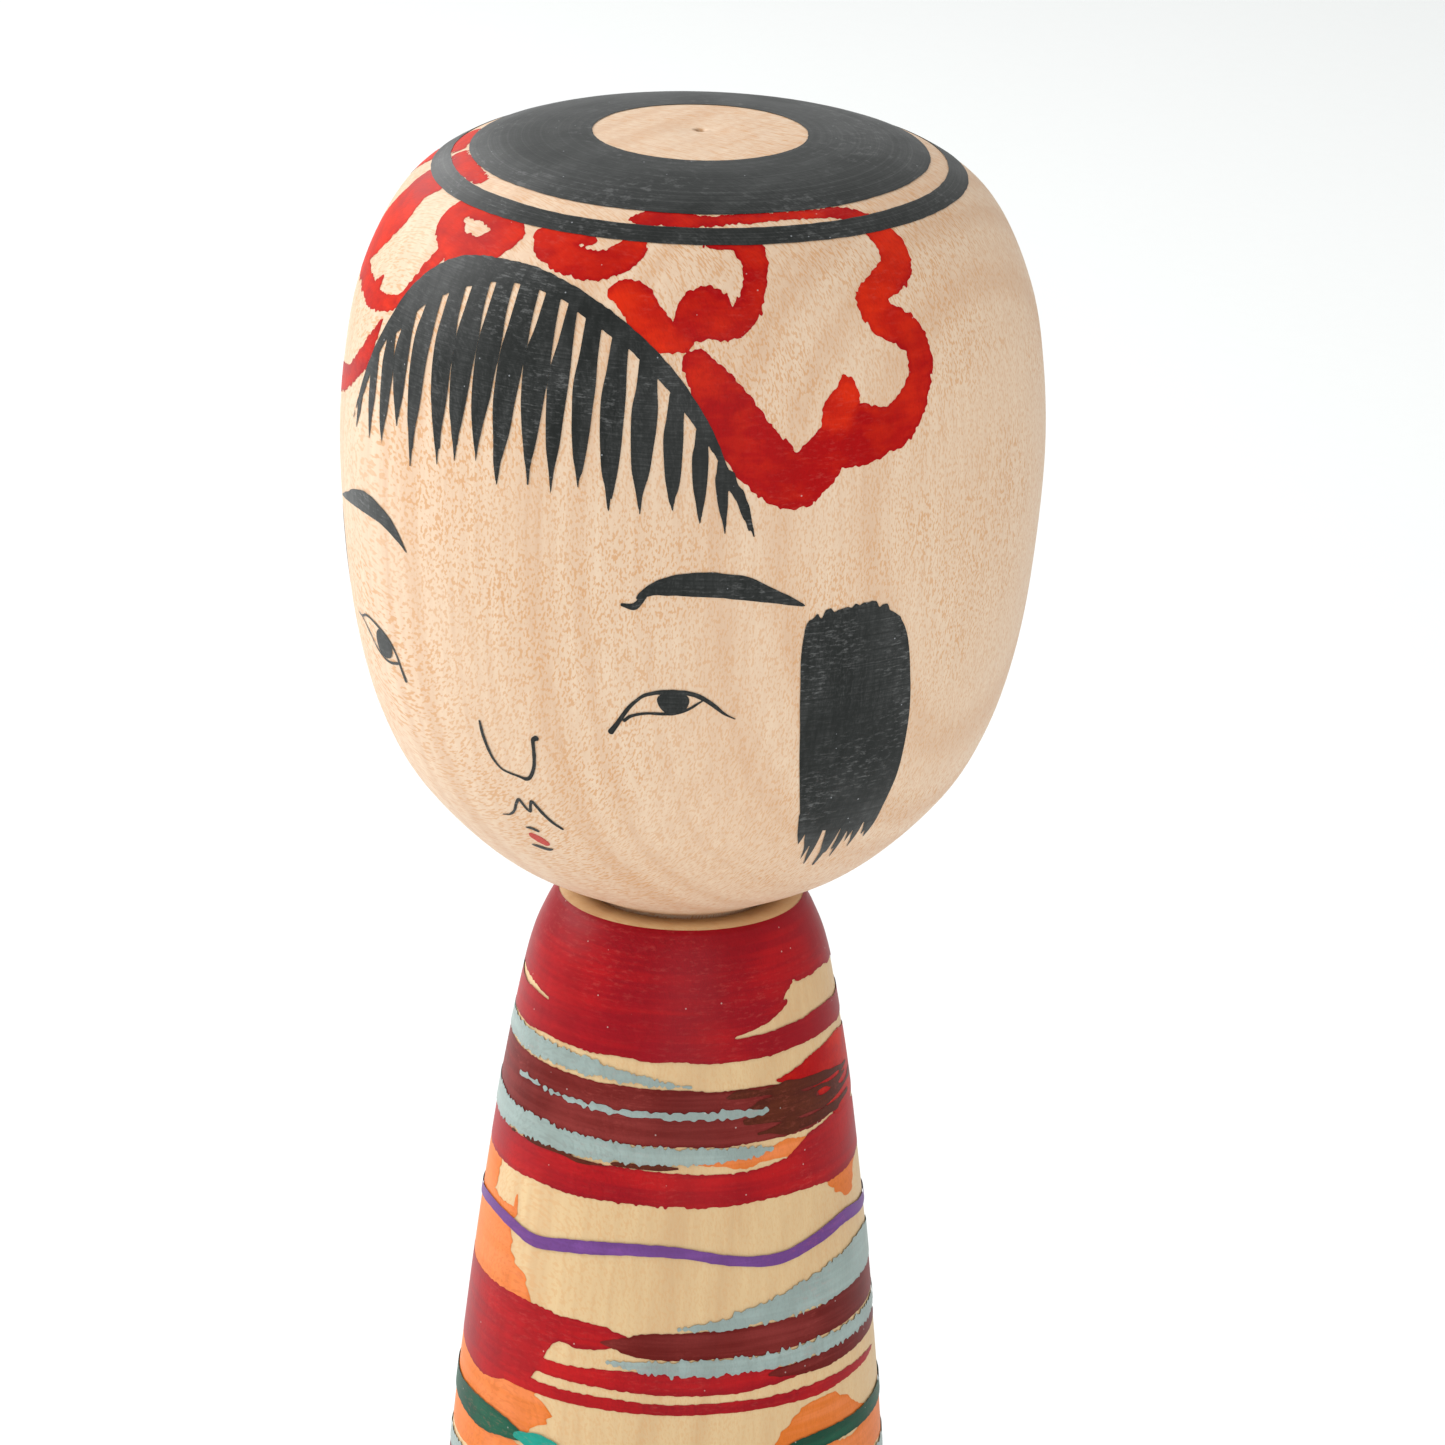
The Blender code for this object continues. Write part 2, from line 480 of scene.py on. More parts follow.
def lay_flat(mesh, places):
    """Unrolled coordinates for each corner of the mesh, stretched to fill the square."""
    low, high = places.min(axis=0), places.max(axis=0)
    spread = 0.02 + 0.96 * (places - low) / (high - low)
    mesh.uv_layers.new(name="OFBake").data.foreach_set("uv", spread.ravel())


def add_piece(name, mesh, material, body):
    mesh.materials.append(material)
    piece = bpy.data.objects.new(name, mesh)
    bpy.context.scene.collection.objects.link(piece)
    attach(piece, body)
    return piece


def turned_piece(name, profile, segments, material, body):
    """A closed solid of revolution about Z, with its seam at the back."""
    rings = [point for point in profile if point[0] > 0]
    ends = [point for point in profile if point[0] == 0]
    turns = np.radians(np.arange(segments) * 360 / segments)
    places = [(0, 0, ends[0][1]), (0, 0, ends[1][1])]
    for radius, height in rings:
        places += [(radius * math.sin(turn), radius * math.cos(turn), height) for turn in turns]
    length = np.cumsum([0] + [math.dist(a, b) for a, b in zip(profile, profile[1:])])
    down = 1 - length / length[-1]
    faces, flat = [], []
    for step in range(segments):
        nearer, further = step / segments, (step + 1) / segments
        here, there = 2 + step, 2 + (step + 1) % segments
        faces.append((0, here, there))
        flat += [((nearer + further) / 2, down[0]), (nearer, down[1]), (further, down[1])]
        for ring in range(len(rings) - 1):
            shift = ring * segments
            beyond = shift + segments
            faces.append((here + shift, here + beyond, there + beyond, there + shift))
            above, below = down[ring + 1], down[ring + 2]
            flat += [(nearer, above), (nearer, below), (further, below), (further, above)]
        shift = (len(rings) - 1) * segments
        faces.append((here + shift, 1, there + shift))
        flat += [(nearer, down[-2]), ((nearer + further) / 2, down[-1]), (further, down[-2])]
    mesh = bpy.data.meshes.new(name)
    mesh.from_pydata(places, [], faces)
    lay_flat(mesh, np.array(flat))
    mesh.shade_smooth()
    return add_piece(name, mesh, material, body)


# ---------------------------------------------------------------- finishes


class Wiring:
    """Adds nodes to a tree, and sets or links their inputs as they are made."""

    def __init__(self, tree):
        self.tree = tree

    def add(self, kind, inputs=None, **settings):
        node = self.tree.nodes.new("ShaderNode" + kind)
        for label, value in settings.items():
            setattr(node, label, value)
        for socket, value in (inputs or {}).items():
            self.feed(node.inputs[socket], value)
        return node

    def feed(self, socket, value):
        if isinstance(value, bpy.types.NodeSocket):
            self.tree.links.new(value, socket)
        else:
            socket.default_value = value

    def math(self, operation, *values):
        return self.add("Math", dict(enumerate(values)), operation=operation).outputs[0]

    def vector(self, operation, *values):
        node = self.add("VectorMath", dict(enumerate(values)), operation=operation)
        return node.outputs["Value" if operation == "LENGTH" else "Vector"]

    def stretch(self, value, low, high, to_low=0.0, to_high=1.0):
        inputs = {0: value, 1: low, 2: high, 3: to_low, 4: to_high}
        return self.add("MapRange", inputs, interpolation_type="SMOOTHSTEP").outputs[0]

    def noise(self, vector, scale, detail=2.0, roughness=0.5):
        inputs = {"Vector": vector, "Scale": scale, "Detail": detail, "Roughness": roughness}
        return self.add("TexNoise", inputs).outputs["Fac"]

    def mix(self, factor, first, second, blend="MIX"):
        node = self.add("Mix", data_type="RGBA", blend_type=blend)
        self.feed(node.inputs[0], factor)
        self.feed(node.inputs[6], first)
        self.feed(node.inputs[7], second)
        return node.outputs[2]

    def group(self, build, **inputs):
        """A node of the group that this function builds the first time it is asked for."""
        node = self.add("Group")
        name = build.__name__.replace("_", " ")
        node.node_tree = bpy.data.node_groups.get(name) or build(name)
        for label, value in inputs.items():
            self.feed(node.inputs[label.replace("_", " ")], value)
        return node


def new_group(name, inputs, outputs):
    """A shader node group with these named sockets, its wiring, and its two end nodes."""
    tree = bpy.data.node_groups.new(name, "ShaderNodeTree")
    for direction, sockets in (("INPUT", inputs), ("OUTPUT", outputs)):
        for label, kind in sockets:
            tree.interface.new_socket(label, in_out=direction, socket_type="NodeSocket" + kind)
    wiring = Wiring(tree)
    source = tree.nodes.new("NodeGroupInput")
    target = tree.nodes.new("NodeGroupOutput")
    return tree, wiring, source.outputs, target.inputs


PITH = (-0.056, -0.002)  # the middle of the tree, beside the doll, in metres

# How many times in a metre a pattern in the maple changes
RING_SCALE = 330.0
FIBRE_SCALE = 1500.0
RAY_SCALE = (800.0, 560.0, 2500.0)  # away from the pith, round it and up the trunk
PATCH_SCALE = 70.0
CLOUD_SCALE = 60.0


def maple_figure(name):
    """Growth rings about a pith beside the piece, upright fibres and the flecks of its rays."""
    tree, wire, given, result = new_group(
        name,
        [("Pale", "Color"), ("Deep", "Color"), ("Fleck", "Color"),
         ("Rings", "Float"), ("Flecks", "Float")],
        [("Color", "Color"), ("Height", "Float")],
    )
    place = wire.add("TexCoord").outputs["Object"]
    axes = wire.add("SeparateXYZ", {0: place}).outputs
    from_pith = wire.math("SUBTRACT", axes["X"], PITH[0])
    sideways = wire.math("SUBTRACT", axes["Y"], PITH[1])
    reach = wire.math("POWER", wire.math("ADD", wire.math("POWER", from_pith, 2.0),
                                         wire.math("POWER", sideways, 2.0)), 0.5)
    turn = wire.math("ARCTAN2", sideways, from_pith)
    sway = wire.noise(wire.vector("MULTIPLY", place, (1.0, 1.0, 0.35)), 28.0, 1.0)
    swayed = wire.math("MULTIPLY_ADD", sway, 0.006, reach)
    ring_place = wire.add("CombineXYZ", {0: swayed}).outputs[0]
    rings = wire.stretch(wire.noise(ring_place, RING_SCALE, 2.0, 0.6), 0.40, 0.66)
    fibre_place = wire.vector("MULTIPLY", place, (1.0, 1.0, 0.045))
    fibres = wire.noise(fibre_place, FIBRE_SCALE, 3.0, 0.6)
    ray_place = wire.add("CombineXYZ", {
        0: wire.math("MULTIPLY", reach, RAY_SCALE[0]),
        1: wire.math("MULTIPLY", turn, RAY_SCALE[1]),
        2: wire.math("MULTIPLY", axes["Z"], RAY_SCALE[2]),
    }).outputs[0]
    rays = wire.stretch(wire.noise(ray_place, 1.0, 1.0, 0.5), 0.49, 0.63)
    patches = wire.stretch(wire.noise(place, PATCH_SCALE, 2.0), 0.38, 0.62)
    ray_strength = wire.math("MULTIPLY", given["Flecks"], wire.math("MULTIPLY_ADD", patches, 0.4, 0.6))
    fleck_mask = wire.math("MULTIPLY", rays, ray_strength)
    cloud = wire.noise(wire.vector("MULTIPLY", place, (1.0, 1.0, 0.3)), CLOUD_SCALE, 2.0)
    depth = wire.math("MULTIPLY_ADD", rings, given["Rings"], wire.math("MULTIPLY", cloud, 0.28))
    depth = wire.math("MULTIPLY_ADD", wire.math("SUBTRACT", fibres, 0.5), 0.75, depth)
    depth = wire.add("Clamp", {0: depth}).outputs[0]
    wood = wire.mix(depth, given["Pale"], given["Deep"])
    wire.feed(result["Color"], wire.mix(fleck_mask, wood, given["Fleck"]))
    wire.feed(result["Height"], wire.math("MULTIPLY_ADD", fleck_mask, -0.5, fibres))
    return tree


def brush_streaks(name):
    """Uneven paint, drawn out along the way the brush went, and soft pools of it."""
    tree, wire, given, result = new_group(
        name,
        [("Along", "Vector"), ("Pools", "Float")],
        [("Density", "Float")],
    )
    place = wire.add("TexCoord").outputs["Object"]
    drawn = wire.vector("MULTIPLY", place, given["Along"])
    streaks = wire.stretch(wire.noise(drawn, 1.0, 3.0, 0.6), 0.32, 0.68)
    pools = wire.stretch(wire.noise(place, given["Pools"], 2.0, 0.6), 0.35, 0.65)
    pooled = wire.math("MULTIPLY", pools, 0.55)
    wire.feed(result["Density"], wire.math("MULTIPLY_ADD", streaks, 0.45, pooled))
    return tree


def dust_specks(name):
    """Pale dots a tenth of a millimetre across, scattered a few millimetres apart."""
    tree, wire, given, result = new_group(name, [("Share", "Float")], [("Mask", "Float")])
    place = wire.add("TexCoord").outputs["Object"]
    cells = wire.add("TexVoronoi", {"Vector": place, "Scale": 900.0})
    dot = wire.stretch(cells.outputs["Distance"], 0.045, 0.085, 1.0, 0.0)
    pick = wire.add("SeparateColor", {0: cells.outputs["Color"]}).outputs[0]
    chosen = wire.math("LESS_THAN", pick, given["Share"])
    wire.feed(result["Mask"], wire.math("MULTIPLY", dot, chosen))
    return tree


def rubbed_fibres(name):
    """Short level scuffs, in drifts, where rubbing has taken the colour off the fibres."""
    tree, wire, given, result = new_group(name, [("Amount", "Float")], [("Mask", "Float")])
    place = wire.add("TexCoord").outputs["Object"]
    level = wire.vector("MULTIPLY", place, (1.0, 1.0, 3.2))
    scuffs = wire.stretch(wire.noise(level, 1100.0, 3.0, 0.7), 0.50, 0.72)
    drifts = wire.stretch(wire.noise(place, 130.0, 2.0), 0.42, 0.66, 0.15, 1.0)
    drifted = wire.math("MULTIPLY", scuffs, drifts)
    wire.feed(result["Mask"], wire.math("MULTIPLY", given["Amount"], drifted))
    return tree


def lathe_lines(name):
    """The faint rings that the turning tool leaves, along the height and out over the crown."""
    tree, wire, given, result = new_group(name, [("Pitch", "Float")], [("Height", "Float")])
    place = wire.add("TexCoord").outputs["Object"]
    axes = wire.add("SeparateXYZ", {0: place}).outputs
    square = wire.math("ADD", wire.math("POWER", axes["X"], 2.0), wire.math("POWER", axes["Y"], 2.0))
    across = wire.math("SUBTRACT", axes["Z"], wire.math("POWER", square, 0.5))
    rings = wire.add("CombineXYZ", {0: wire.math("DIVIDE", across, given["Pitch"])}).outputs[0]
    wire.feed(result["Height"], wire.noise(rings, 1.0, 2.0, 0.7))
    return tree


def centre_mark(name):
    """The stained pip that the lathe's centre leaves in the middle of the crown and of the base."""
    tree, wire, _, result = new_group(name, [], [("Mask", "Float")])
    place = wire.add("TexCoord").outputs["Object"]
    axes = wire.add("SeparateXYZ", {0: place}).outputs
    flat = wire.add("CombineXYZ", {0: axes["X"], 1: wire.math("MULTIPLY", axes["Y"], 1.8)}).outputs[0]
    reach = wire.vector("LENGTH", flat)
    ragged = wire.math("MULTIPLY_ADD", wire.noise(place, 1400.0), 0.0012, reach)
    wire.feed(result["Mask"], wire.stretch(ragged, 0.0008, 0.0016, 0.85, 0.0))
    return tree


WAX_ROUGHNESS = 0.34
RELIEF = 0.000012  # height of the grain and of the tool's lines, in metres

# From one of the tool's lines to the next, in metres
WOOD_PITCH = 0.00035
FINE_PITCH = 0.00022
CROWN_PITCH = 0.0005

ROUND = (55.0, 55.0, 1500.0)  # streaks that run round the doll, as on a turning lathe
UPRIGHT = (1500.0, 1500.0, 60.0)  # streaks that run down it
LOOPED = (300.0, 300.0, 700.0)  # streaks of a brush that turns as it goes
DABBED = (260.0, 260.0, 260.0)  # the mottle of one touch of the brush

RUBBED_DYE = (0.74, 0.16, 0.13, 1)
DUST_ON_DYE = (0.80, 0.72, 0.66, 1)
DUST_ON_INK = (0.60, 0.62, 0.66, 1)


def new_material(name):
    material = bpy.data.materials.new(name)
    material.use_nodes = True
    wire = Wiring(material.node_tree)
    shader = material.node_tree.nodes["Principled BSDF"]
    return material, wire, shader


def waxed(material, wire, shader, height, wax, gloss=0.13):
    """The relief of the grain and of the tool's lines, under a thin coat of rubbed wax."""
    bump = wire.add("Bump", {"Height": height, "Strength": 1.0, "Distance": RELIEF})
    wire.feed(shader.inputs["Normal"], bump.outputs[0])
    shader.inputs["Specular IOR Level"].default_value = gloss
    shader.inputs["Coat Weight"].default_value = wax
    shader.inputs["Coat Roughness"].default_value = WAX_ROUGHNESS
    return material


def dusty(wire, colour, dust, share, strength):
    """The colour with specks of dust, on this share of the places where one could lie."""
    specks = wire.group(dust_specks, Share=share)
    return wire.mix(wire.math("MULTIPLY", specks.outputs["Mask"], strength), colour, dust)


def wood_material(name, pale, deep, fleck, rings, flecks):
    """Turned maple under a thin coat of wax."""
    if name in bpy.data.materials:
        return bpy.data.materials[name]
    material, wire, shader = new_material(name)
    figure = wire.group(maple_figure, Pale=(*pale, 1), Deep=(*deep, 1), Fleck=(*fleck, 1),
                        Rings=rings, Flecks=flecks)
    mark = wire.group(centre_mark)
    stain = tuple(channel * 0.45 for channel in fleck)
    wood = wire.mix(mark.outputs["Mask"], figure.outputs["Color"], (*stain, 1))
    wire.feed(shader.inputs["Base Color"], wood)
    wire.feed(shader.inputs["Roughness"], wire.stretch(figure.outputs["Height"], 0.2, 0.8, 0.52, 0.42))
    lines = wire.group(lathe_lines, Pitch=WOOD_PITCH)
    relief = wire.math("MULTIPLY_ADD", lines.outputs["Height"], 0.6, figure.outputs["Height"])
    return waxed(material, wire, shader, relief, 0.10)


def dye_material(name, thin, dense, along, pools, grain=0.55, sheen=0.10, gloss=0.04):
    """Dye drawn over maple: thin where the brush ran dry, dense in its pools and at its edges."""
    material, wire, shader = new_material(name)
    streaks = wire.group(brush_streaks, Along=along, Pools=pools)
    inward = wire.add("Attribute", attribute_name="inward").outputs["Fac"]
    shade = wire.add("Attribute", attribute_name="shade").outputs["Fac"]
    lip = wire.stretch(inward, 0.0, 0.45, 0.28, 0.0)
    density = wire.math("ADD", wire.math("ADD", streaks.outputs["Density"], 0.25), lip)
    density = wire.math("SUBTRACT", density, shade)
    density = wire.add("Clamp", {0: density}).outputs[0]
    figure = wire.group(maple_figure, Pale=(1, 1, 1, 1), Deep=(0.62, 0.55, 0.50, 1),
                        Fleck=(0.55, 0.45, 0.42, 1), Rings=0.35, Flecks=0.5)
    dye = wire.mix(density, (*thin, 1), (*dense, 1))
    colour = wire.mix(grain, dye, figure.outputs["Color"], "MULTIPLY")
    lines = wire.group(lathe_lines, Pitch=FINE_PITCH)
    rubbed = wire.group(rubbed_fibres, Amount=0.15)
    worn = wire.math("ADD", lines.outputs["Height"], 0.4)
    colour = wire.mix(wire.math("MULTIPLY", rubbed.outputs["Mask"], worn), colour, RUBBED_DYE)
    wire.feed(shader.inputs["Base Color"], dusty(wire, colour, DUST_ON_DYE, 0.30, 0.4))
    wire.feed(shader.inputs["Roughness"], wire.stretch(density, 0.0, 1.0, 0.50, 0.40))
    relief = wire.math("MULTIPLY_ADD", lines.outputs["Height"], 0.6, figure.outputs["Height"])
    return waxed(material, wire, shader, relief, sheen, gloss)


def ink_material(name, ink, worn, upright):
    """Soot ink rubbed to a satin black, greyer where the wood's fibres lift it, with paler rings on the
    crown that are partly rubbed ink and partly a painted sheen.
    """
    material, wire, shader = new_material(name)
    streaks = wire.group(brush_streaks, Along=UPRIGHT if upright else ROUND, Pools=90.0)
    figure = wire.group(maple_figure, Pale=(0, 0, 0, 1), Deep=(1, 1, 1, 1), Fleck=(1, 1, 1, 1),
                        Rings=0.3, Flecks=0.4)
    lines = wire.group(lathe_lines, Pitch=FINE_PITCH if upright else CROWN_PITCH)
    scuffs = wire.group(rubbed_fibres, Amount=1.0)
    rubbed = wire.math("MULTIPLY", figure.outputs["Color"], streaks.outputs["Density"])
    rubbed = wire.math("MULTIPLY_ADD", scuffs.outputs["Mask"], 1.4, rubbed)
    ridges = wire.stretch(lines.outputs["Height"], 0.3, 0.7, 0.25, 1.2)
    rubbed = wire.math("MULTIPLY", rubbed, ridges)
    # On the crown the tool's rings are painted paler: partly ink rubbed off their ridges, partly a
    # painted sheen of the light along them
    if not upright:
        ridge_wear_and_sheen = wire.stretch(lines.outputs["Height"], 0.50, 0.72)
        rubbed = wire.math("MULTIPLY_ADD", ridge_wear_and_sheen, 0.45, rubbed)
    colour = wire.mix(rubbed, (*ink, 1), (*worn, 1))
    wire.feed(shader.inputs["Base Color"], dusty(wire, colour, DUST_ON_INK, 0.25, 0.45))
    sheen = wire.stretch(streaks.outputs["Density"], 0.0, 1.0, 0.50, 0.40)
    wire.feed(shader.inputs["Roughness"], sheen)
    relief = wire.math("MULTIPLY_ADD", lines.outputs["Height"], 0.8, figure.outputs["Height"])
    return waxed(material, wire, shader, relief, 0.22)


# ---------------------------------------------------------------- settings


def colour_property(label, description, default):
    return bpy.props.FloatVectorProperty(
        name=label, description=description, default=default, size=3, min=0, max=1, subtype="COLOR"
    )


class WoodSettings(bpy.types.PropertyGroup):
    segments: bpy.props.IntProperty(
        name="Segments", description="Facets round each turned piece", default=192, min=48, max=512
    )
    steps: bpy.props.IntProperty(
        name="Profile Steps", description="Facets between two points of a side",
        default=9, min=2, max=24,
    )
    head_pale: colour_property("Head Pale", "Maple of the head between its rings", (0.83, 0.632, 0.46))
    head_deep: colour_property("Head Deep", "Maple of the head in its rings", (0.66, 0.40, 0.24))
    body_pale: colour_property("Body Pale", "Maple of the body between its rings", (0.75, 0.54, 0.295))
    body_deep: colour_property("Body Deep", "Maple of the body in its rings", (0.60, 0.37, 0.19))
    fleck: colour_property("Fleck", "Ray flecks in the maple", (0.67, 0.33, 0.13))


class PaintSettings(bpy.types.PropertyGroup):
    step: bpy.props.FloatProperty(
        name="Detail", description="Grid on which the paint's edges are drawn, in millimetres",
        default=0.15, min=0.05, max=0.5,
    )
    spacing: bpy.props.FloatProperty(
        name="Facet Size", description="Largest facets of a paint film, in millimetres",
        default=0.9, min=0.3, max=2.0,
    )
    lift: bpy.props.FloatProperty(
        name="Film Lift", description="Height of each layer of paint over the last, in millimetres",
        default=0.02, min=0.005, max=0.1,
    )
    ink: colour_property("Ink", "Black of the hair and the face's lines", (0.008, 0.010, 0.009))
    crimson: colour_property("Crimson", "Red of the ribbons where it lies thick", (0.43, 0.002, 0.003))
    scarlet: colour_property("Scarlet", "Red of the ribbons where it lies thin", (0.74, 0.026, 0.004))
    carmine: colour_property(
        "Carmine", "Red of the body's bands where it lies thick", (0.31, 0.003, 0.010)
    )
    vermilion: colour_property(
        "Vermilion", "Red of the body's bands where it lies thin", (0.52, 0.008, 0.010)
    )
    maroon: colour_property("Maroon", "Dark red of the middle bands", (0.145, 0.010, 0.008))
    orange: colour_property("Orange", "Orange dye", (0.76, 0.19, 0.028))
    slate: colour_property("Slate", "Grey-blue pigment", (0.31, 0.39, 0.37))
    violet: colour_property("Violet", "Violet of the wavy line", (0.165, 0.062, 0.25))
    green: colour_property("Green", "Green of the lower bands", (0.022, 0.13, 0.075))


class StageSettings(bpy.types.PropertyGroup):
    floor_radius: bpy.props.FloatProperty(
        name="Floor Radius", description="Radius of the studio floor",
        default=4.0, min=1.0, unit="LENGTH",
    )
    floor: colour_property("Floor", "White of the studio floor", (0.93, 0.94, 0.935))
    sky: bpy.props.FloatProperty(
        name="Room Light", description="Brightness of the room", default=0.68, min=0
    )
    key: bpy.props.FloatProperty(
        name="Key Light", description="Power of the large soft light", default=8.5, min=0, unit="POWER"
    )
    fill: bpy.props.FloatProperty(
        name="Fill Light", description="Power of the light in front", default=6.0, min=0, unit="POWER"
    )
    back: bpy.props.FloatProperty(
        name="Back Light", description="Power of the light behind", default=3.4, min=0, unit="POWER"
    )
    lens: bpy.props.FloatProperty(
        name="Lens", description="Focal length of the camera, in millimetres", default=186.85, min=20
    )


# ---------------------------------------------------------------- paints and their order


def tint(setting, scale=1.0, lift=0.0):
    """A colour of the paint settings, scaled as a whole or by channel, and then lifted."""
    colour = np.array(getattr(bpy.context.scene.kokeshi_paint, setting))
    return tuple(np.minimum(colour * scale + lift, 1.0))


INK_WEAR = {"brushed_ink": 0.09, "turned_ink": 0.07}  # how much paler the ink is where it is rubbed


def ink(upright=True):
    """The hair's ink, drawn down the head with a brush or laid round it as it turned."""
    name = "brushed_ink" if upright else "turned_ink"
    if name in bpy.data.materials:
        return bpy.data.materials[name]
    return ink_material(name, tint("ink"), tint("ink", lift=INK_WEAR[name]), upright)


# Each dye: its colour where it is thin and where it is dense, as a setting, its scale and its lift,
# then the way of its streaks, the scale of its pools, and what differs from the usual finish
DYES = {
    "red_dye": (("scarlet",), ("crimson",), LOOPED, 120.0, {}),
    "lip_dye": (("scarlet", 0.7, 0.06), ("scarlet", 0.7, 0.06), DABBED, 70.0, {}),
    "red_band_dye": (("vermilion",), ("carmine",), ROUND, 90.0, {"sheen": 0.18}),
    "orange_dye": (("orange", 1.1, 0.06), ("orange",), ROUND, 90.0, {}),
    "maroon_dye": (("maroon", 1.7, 0.02), ("maroon",), ROUND, 90.0, {"grain": 0.4}),
    "umber_dye": (("maroon", (1.0, 3.2, 1.6)), ("maroon", (0.6, 1.6, 1.0)), ROUND, 90.0,
                  {"grain": 0.4}),
    "slate_pigment": (("slate", 1.35), ("slate",), ROUND, 120.0,
                      {"grain": 0.5, "sheen": 0.06, "gloss": 0.13}),
    "violet_dye": (("violet", 1.5), ("violet",), ROUND, 120.0, {"grain": 0.4}),
    "green_dye": (("green",), ("green", 0.5), ROUND, 90.0, {"grain": 0.4}),
    "teal_dye": (("green", (0.9, 3.3, 4.4)), ("green", (0.8, 2.4, 3.2)), ROUND, 120.0,
                 {"grain": 0.3}),
}


def dye(name):
    """The material of one of the dyes, made when it is first asked for."""
    if name in bpy.data.materials:
        return bpy.data.materials[name]
    thin, dense, along, pools, finish = DYES[name]
    return dye_material(name, tint(*thin), tint(*dense), along, pools, **finish)


# How many layers of film a paint lies over the wood, where it isn't the ink on the head
LAYERS = {
    "hair_ribbons": 1, "lip": 1,
    "orange_washes": 1, "red_bands": 2, "maroon_bands": 3, "scarlet_starts": 4, "umber_bands": 5,
    "red_collar": 5, "slate_bands": 6, "violet_line": 7, "green_bands": 7, "teal_tips": 8,
}
INK_LAYER = 3


def canvas_for(skin, angles, reach, grid=1.0):
    """A canvas on the grid of the paint settings, or on this share of its step."""
    return Canvas(skin, angles, reach, bpy.context.scene.kokeshi_paint.step * grid)


def paint_on(body, name, canvas, material, facets):
    """A film of the canvas's paint, in its layer, with facets of the settings' size or this share."""
    paint = bpy.context.scene.kokeshi_paint
    lift = paint.lift * LAYERS.get(name, INK_LAYER)
    return film(name, canvas, lift, paint.spacing * facets, material, body)


def paint_head(name, canvas, material, facets=1.0):
    return paint_on("head", name, canvas, material, facets)


def paint_body(name, canvas, material, facets=1.0):
    return paint_on("body", name, canvas, material, facets)


# ---------------------------------------------------------------- the pieces


class KOKESHI_OT_head(bpy.types.Operator):
    """Turns the head, its neck and its tenon from pale maple"""

    bl_idname = "kokeshi.head"
    bl_label = "Turned Head"

    def execute(self, context):
        wood = context.scene.kokeshi_wood
        maple = wood_material("head_maple", wood.head_pale, wood.head_deep, wood.fleck, 0.37, 0.70)
        piece = turned_piece("head_wood", head_profile(wood.steps), wood.segments, maple,
                             "head")
        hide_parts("head")
        return {"FINISHED"}


class KOKESHI_OT_body(bpy.types.Operator):
    """Turns the body, with the socket for the head's tenon"""

    bl_idname = "kokeshi.body"
    bl_label = "Turned Body"

    def execute(self, context):
        wood = context.scene.kokeshi_wood
        maple = wood_material("body_maple", wood.body_pale, wood.body_deep, wood.fleck, 0.36, 0.34)
        piece = turned_piece("body_wood", body_profile(wood.steps), wood.segments, maple,
                             "body")
        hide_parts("body")
        return {"FINISHED"}


CROWN_BAND = (9.5, 20.3)  # the black of the crown, round a bare disc
CROWN_RING = (22.1, 24.1)  # the thin ring outside it


class KOKESHI_OT_crown(bpy.types.Operator):
    """Brushes the black band and the thin ring round the crown"""

    bl_idname = "kokeshi.crown"
    bl_label = "Crown Rings"

    def execute(self, context):
        for name, (inner, outer), seed in (
            ("crown_band", CROWN_BAND, 11),
            ("crown_ring", CROWN_RING, 12),
        ):
            canvas = canvas_for(HEAD_SKIN, WHOLE_TURN, (inner - 1.5, outer + 1.5))
            canvas.band([(-180, inner, outer), (-60, inner, outer), (60, inner, outer)])
            canvas.roughen("crown sway", seed)
            canvas.roughen("crown", seed + 40)
            paint_head(name, canvas, ink(upright=False))
        return {"FINISHED"}


# The cap of hair over the forehead: (angle, top edge, line from which the strands hang)
FRINGE_CAP = [
    (-40, 46.2, 46.0), (-36, 41.0, 43.0), (-33, 38.0, 40.2), (-30, 35.0, 37.6), (-27, 32.3, 36.6),
    (-22, 29.9, 33.6), (-17.5, 28.6, 32.1), (-12.5, 28.0, 30.8), (-7.3, 27.8, 29.9), (0, 27.8, 29.6),
    (7.7, 28.7, 30.3), (11.4, 29.4, 31.3), (16.5, 30.6, 32.6), (21.5, 32.2, 34.1), (26.5, 34.3, 36.4),
    (31.2, 37.2, 39.4), (35, 40.5, 42.2), (38, 44.2, 45.2), (39.6, 46.6, 46.8),
]

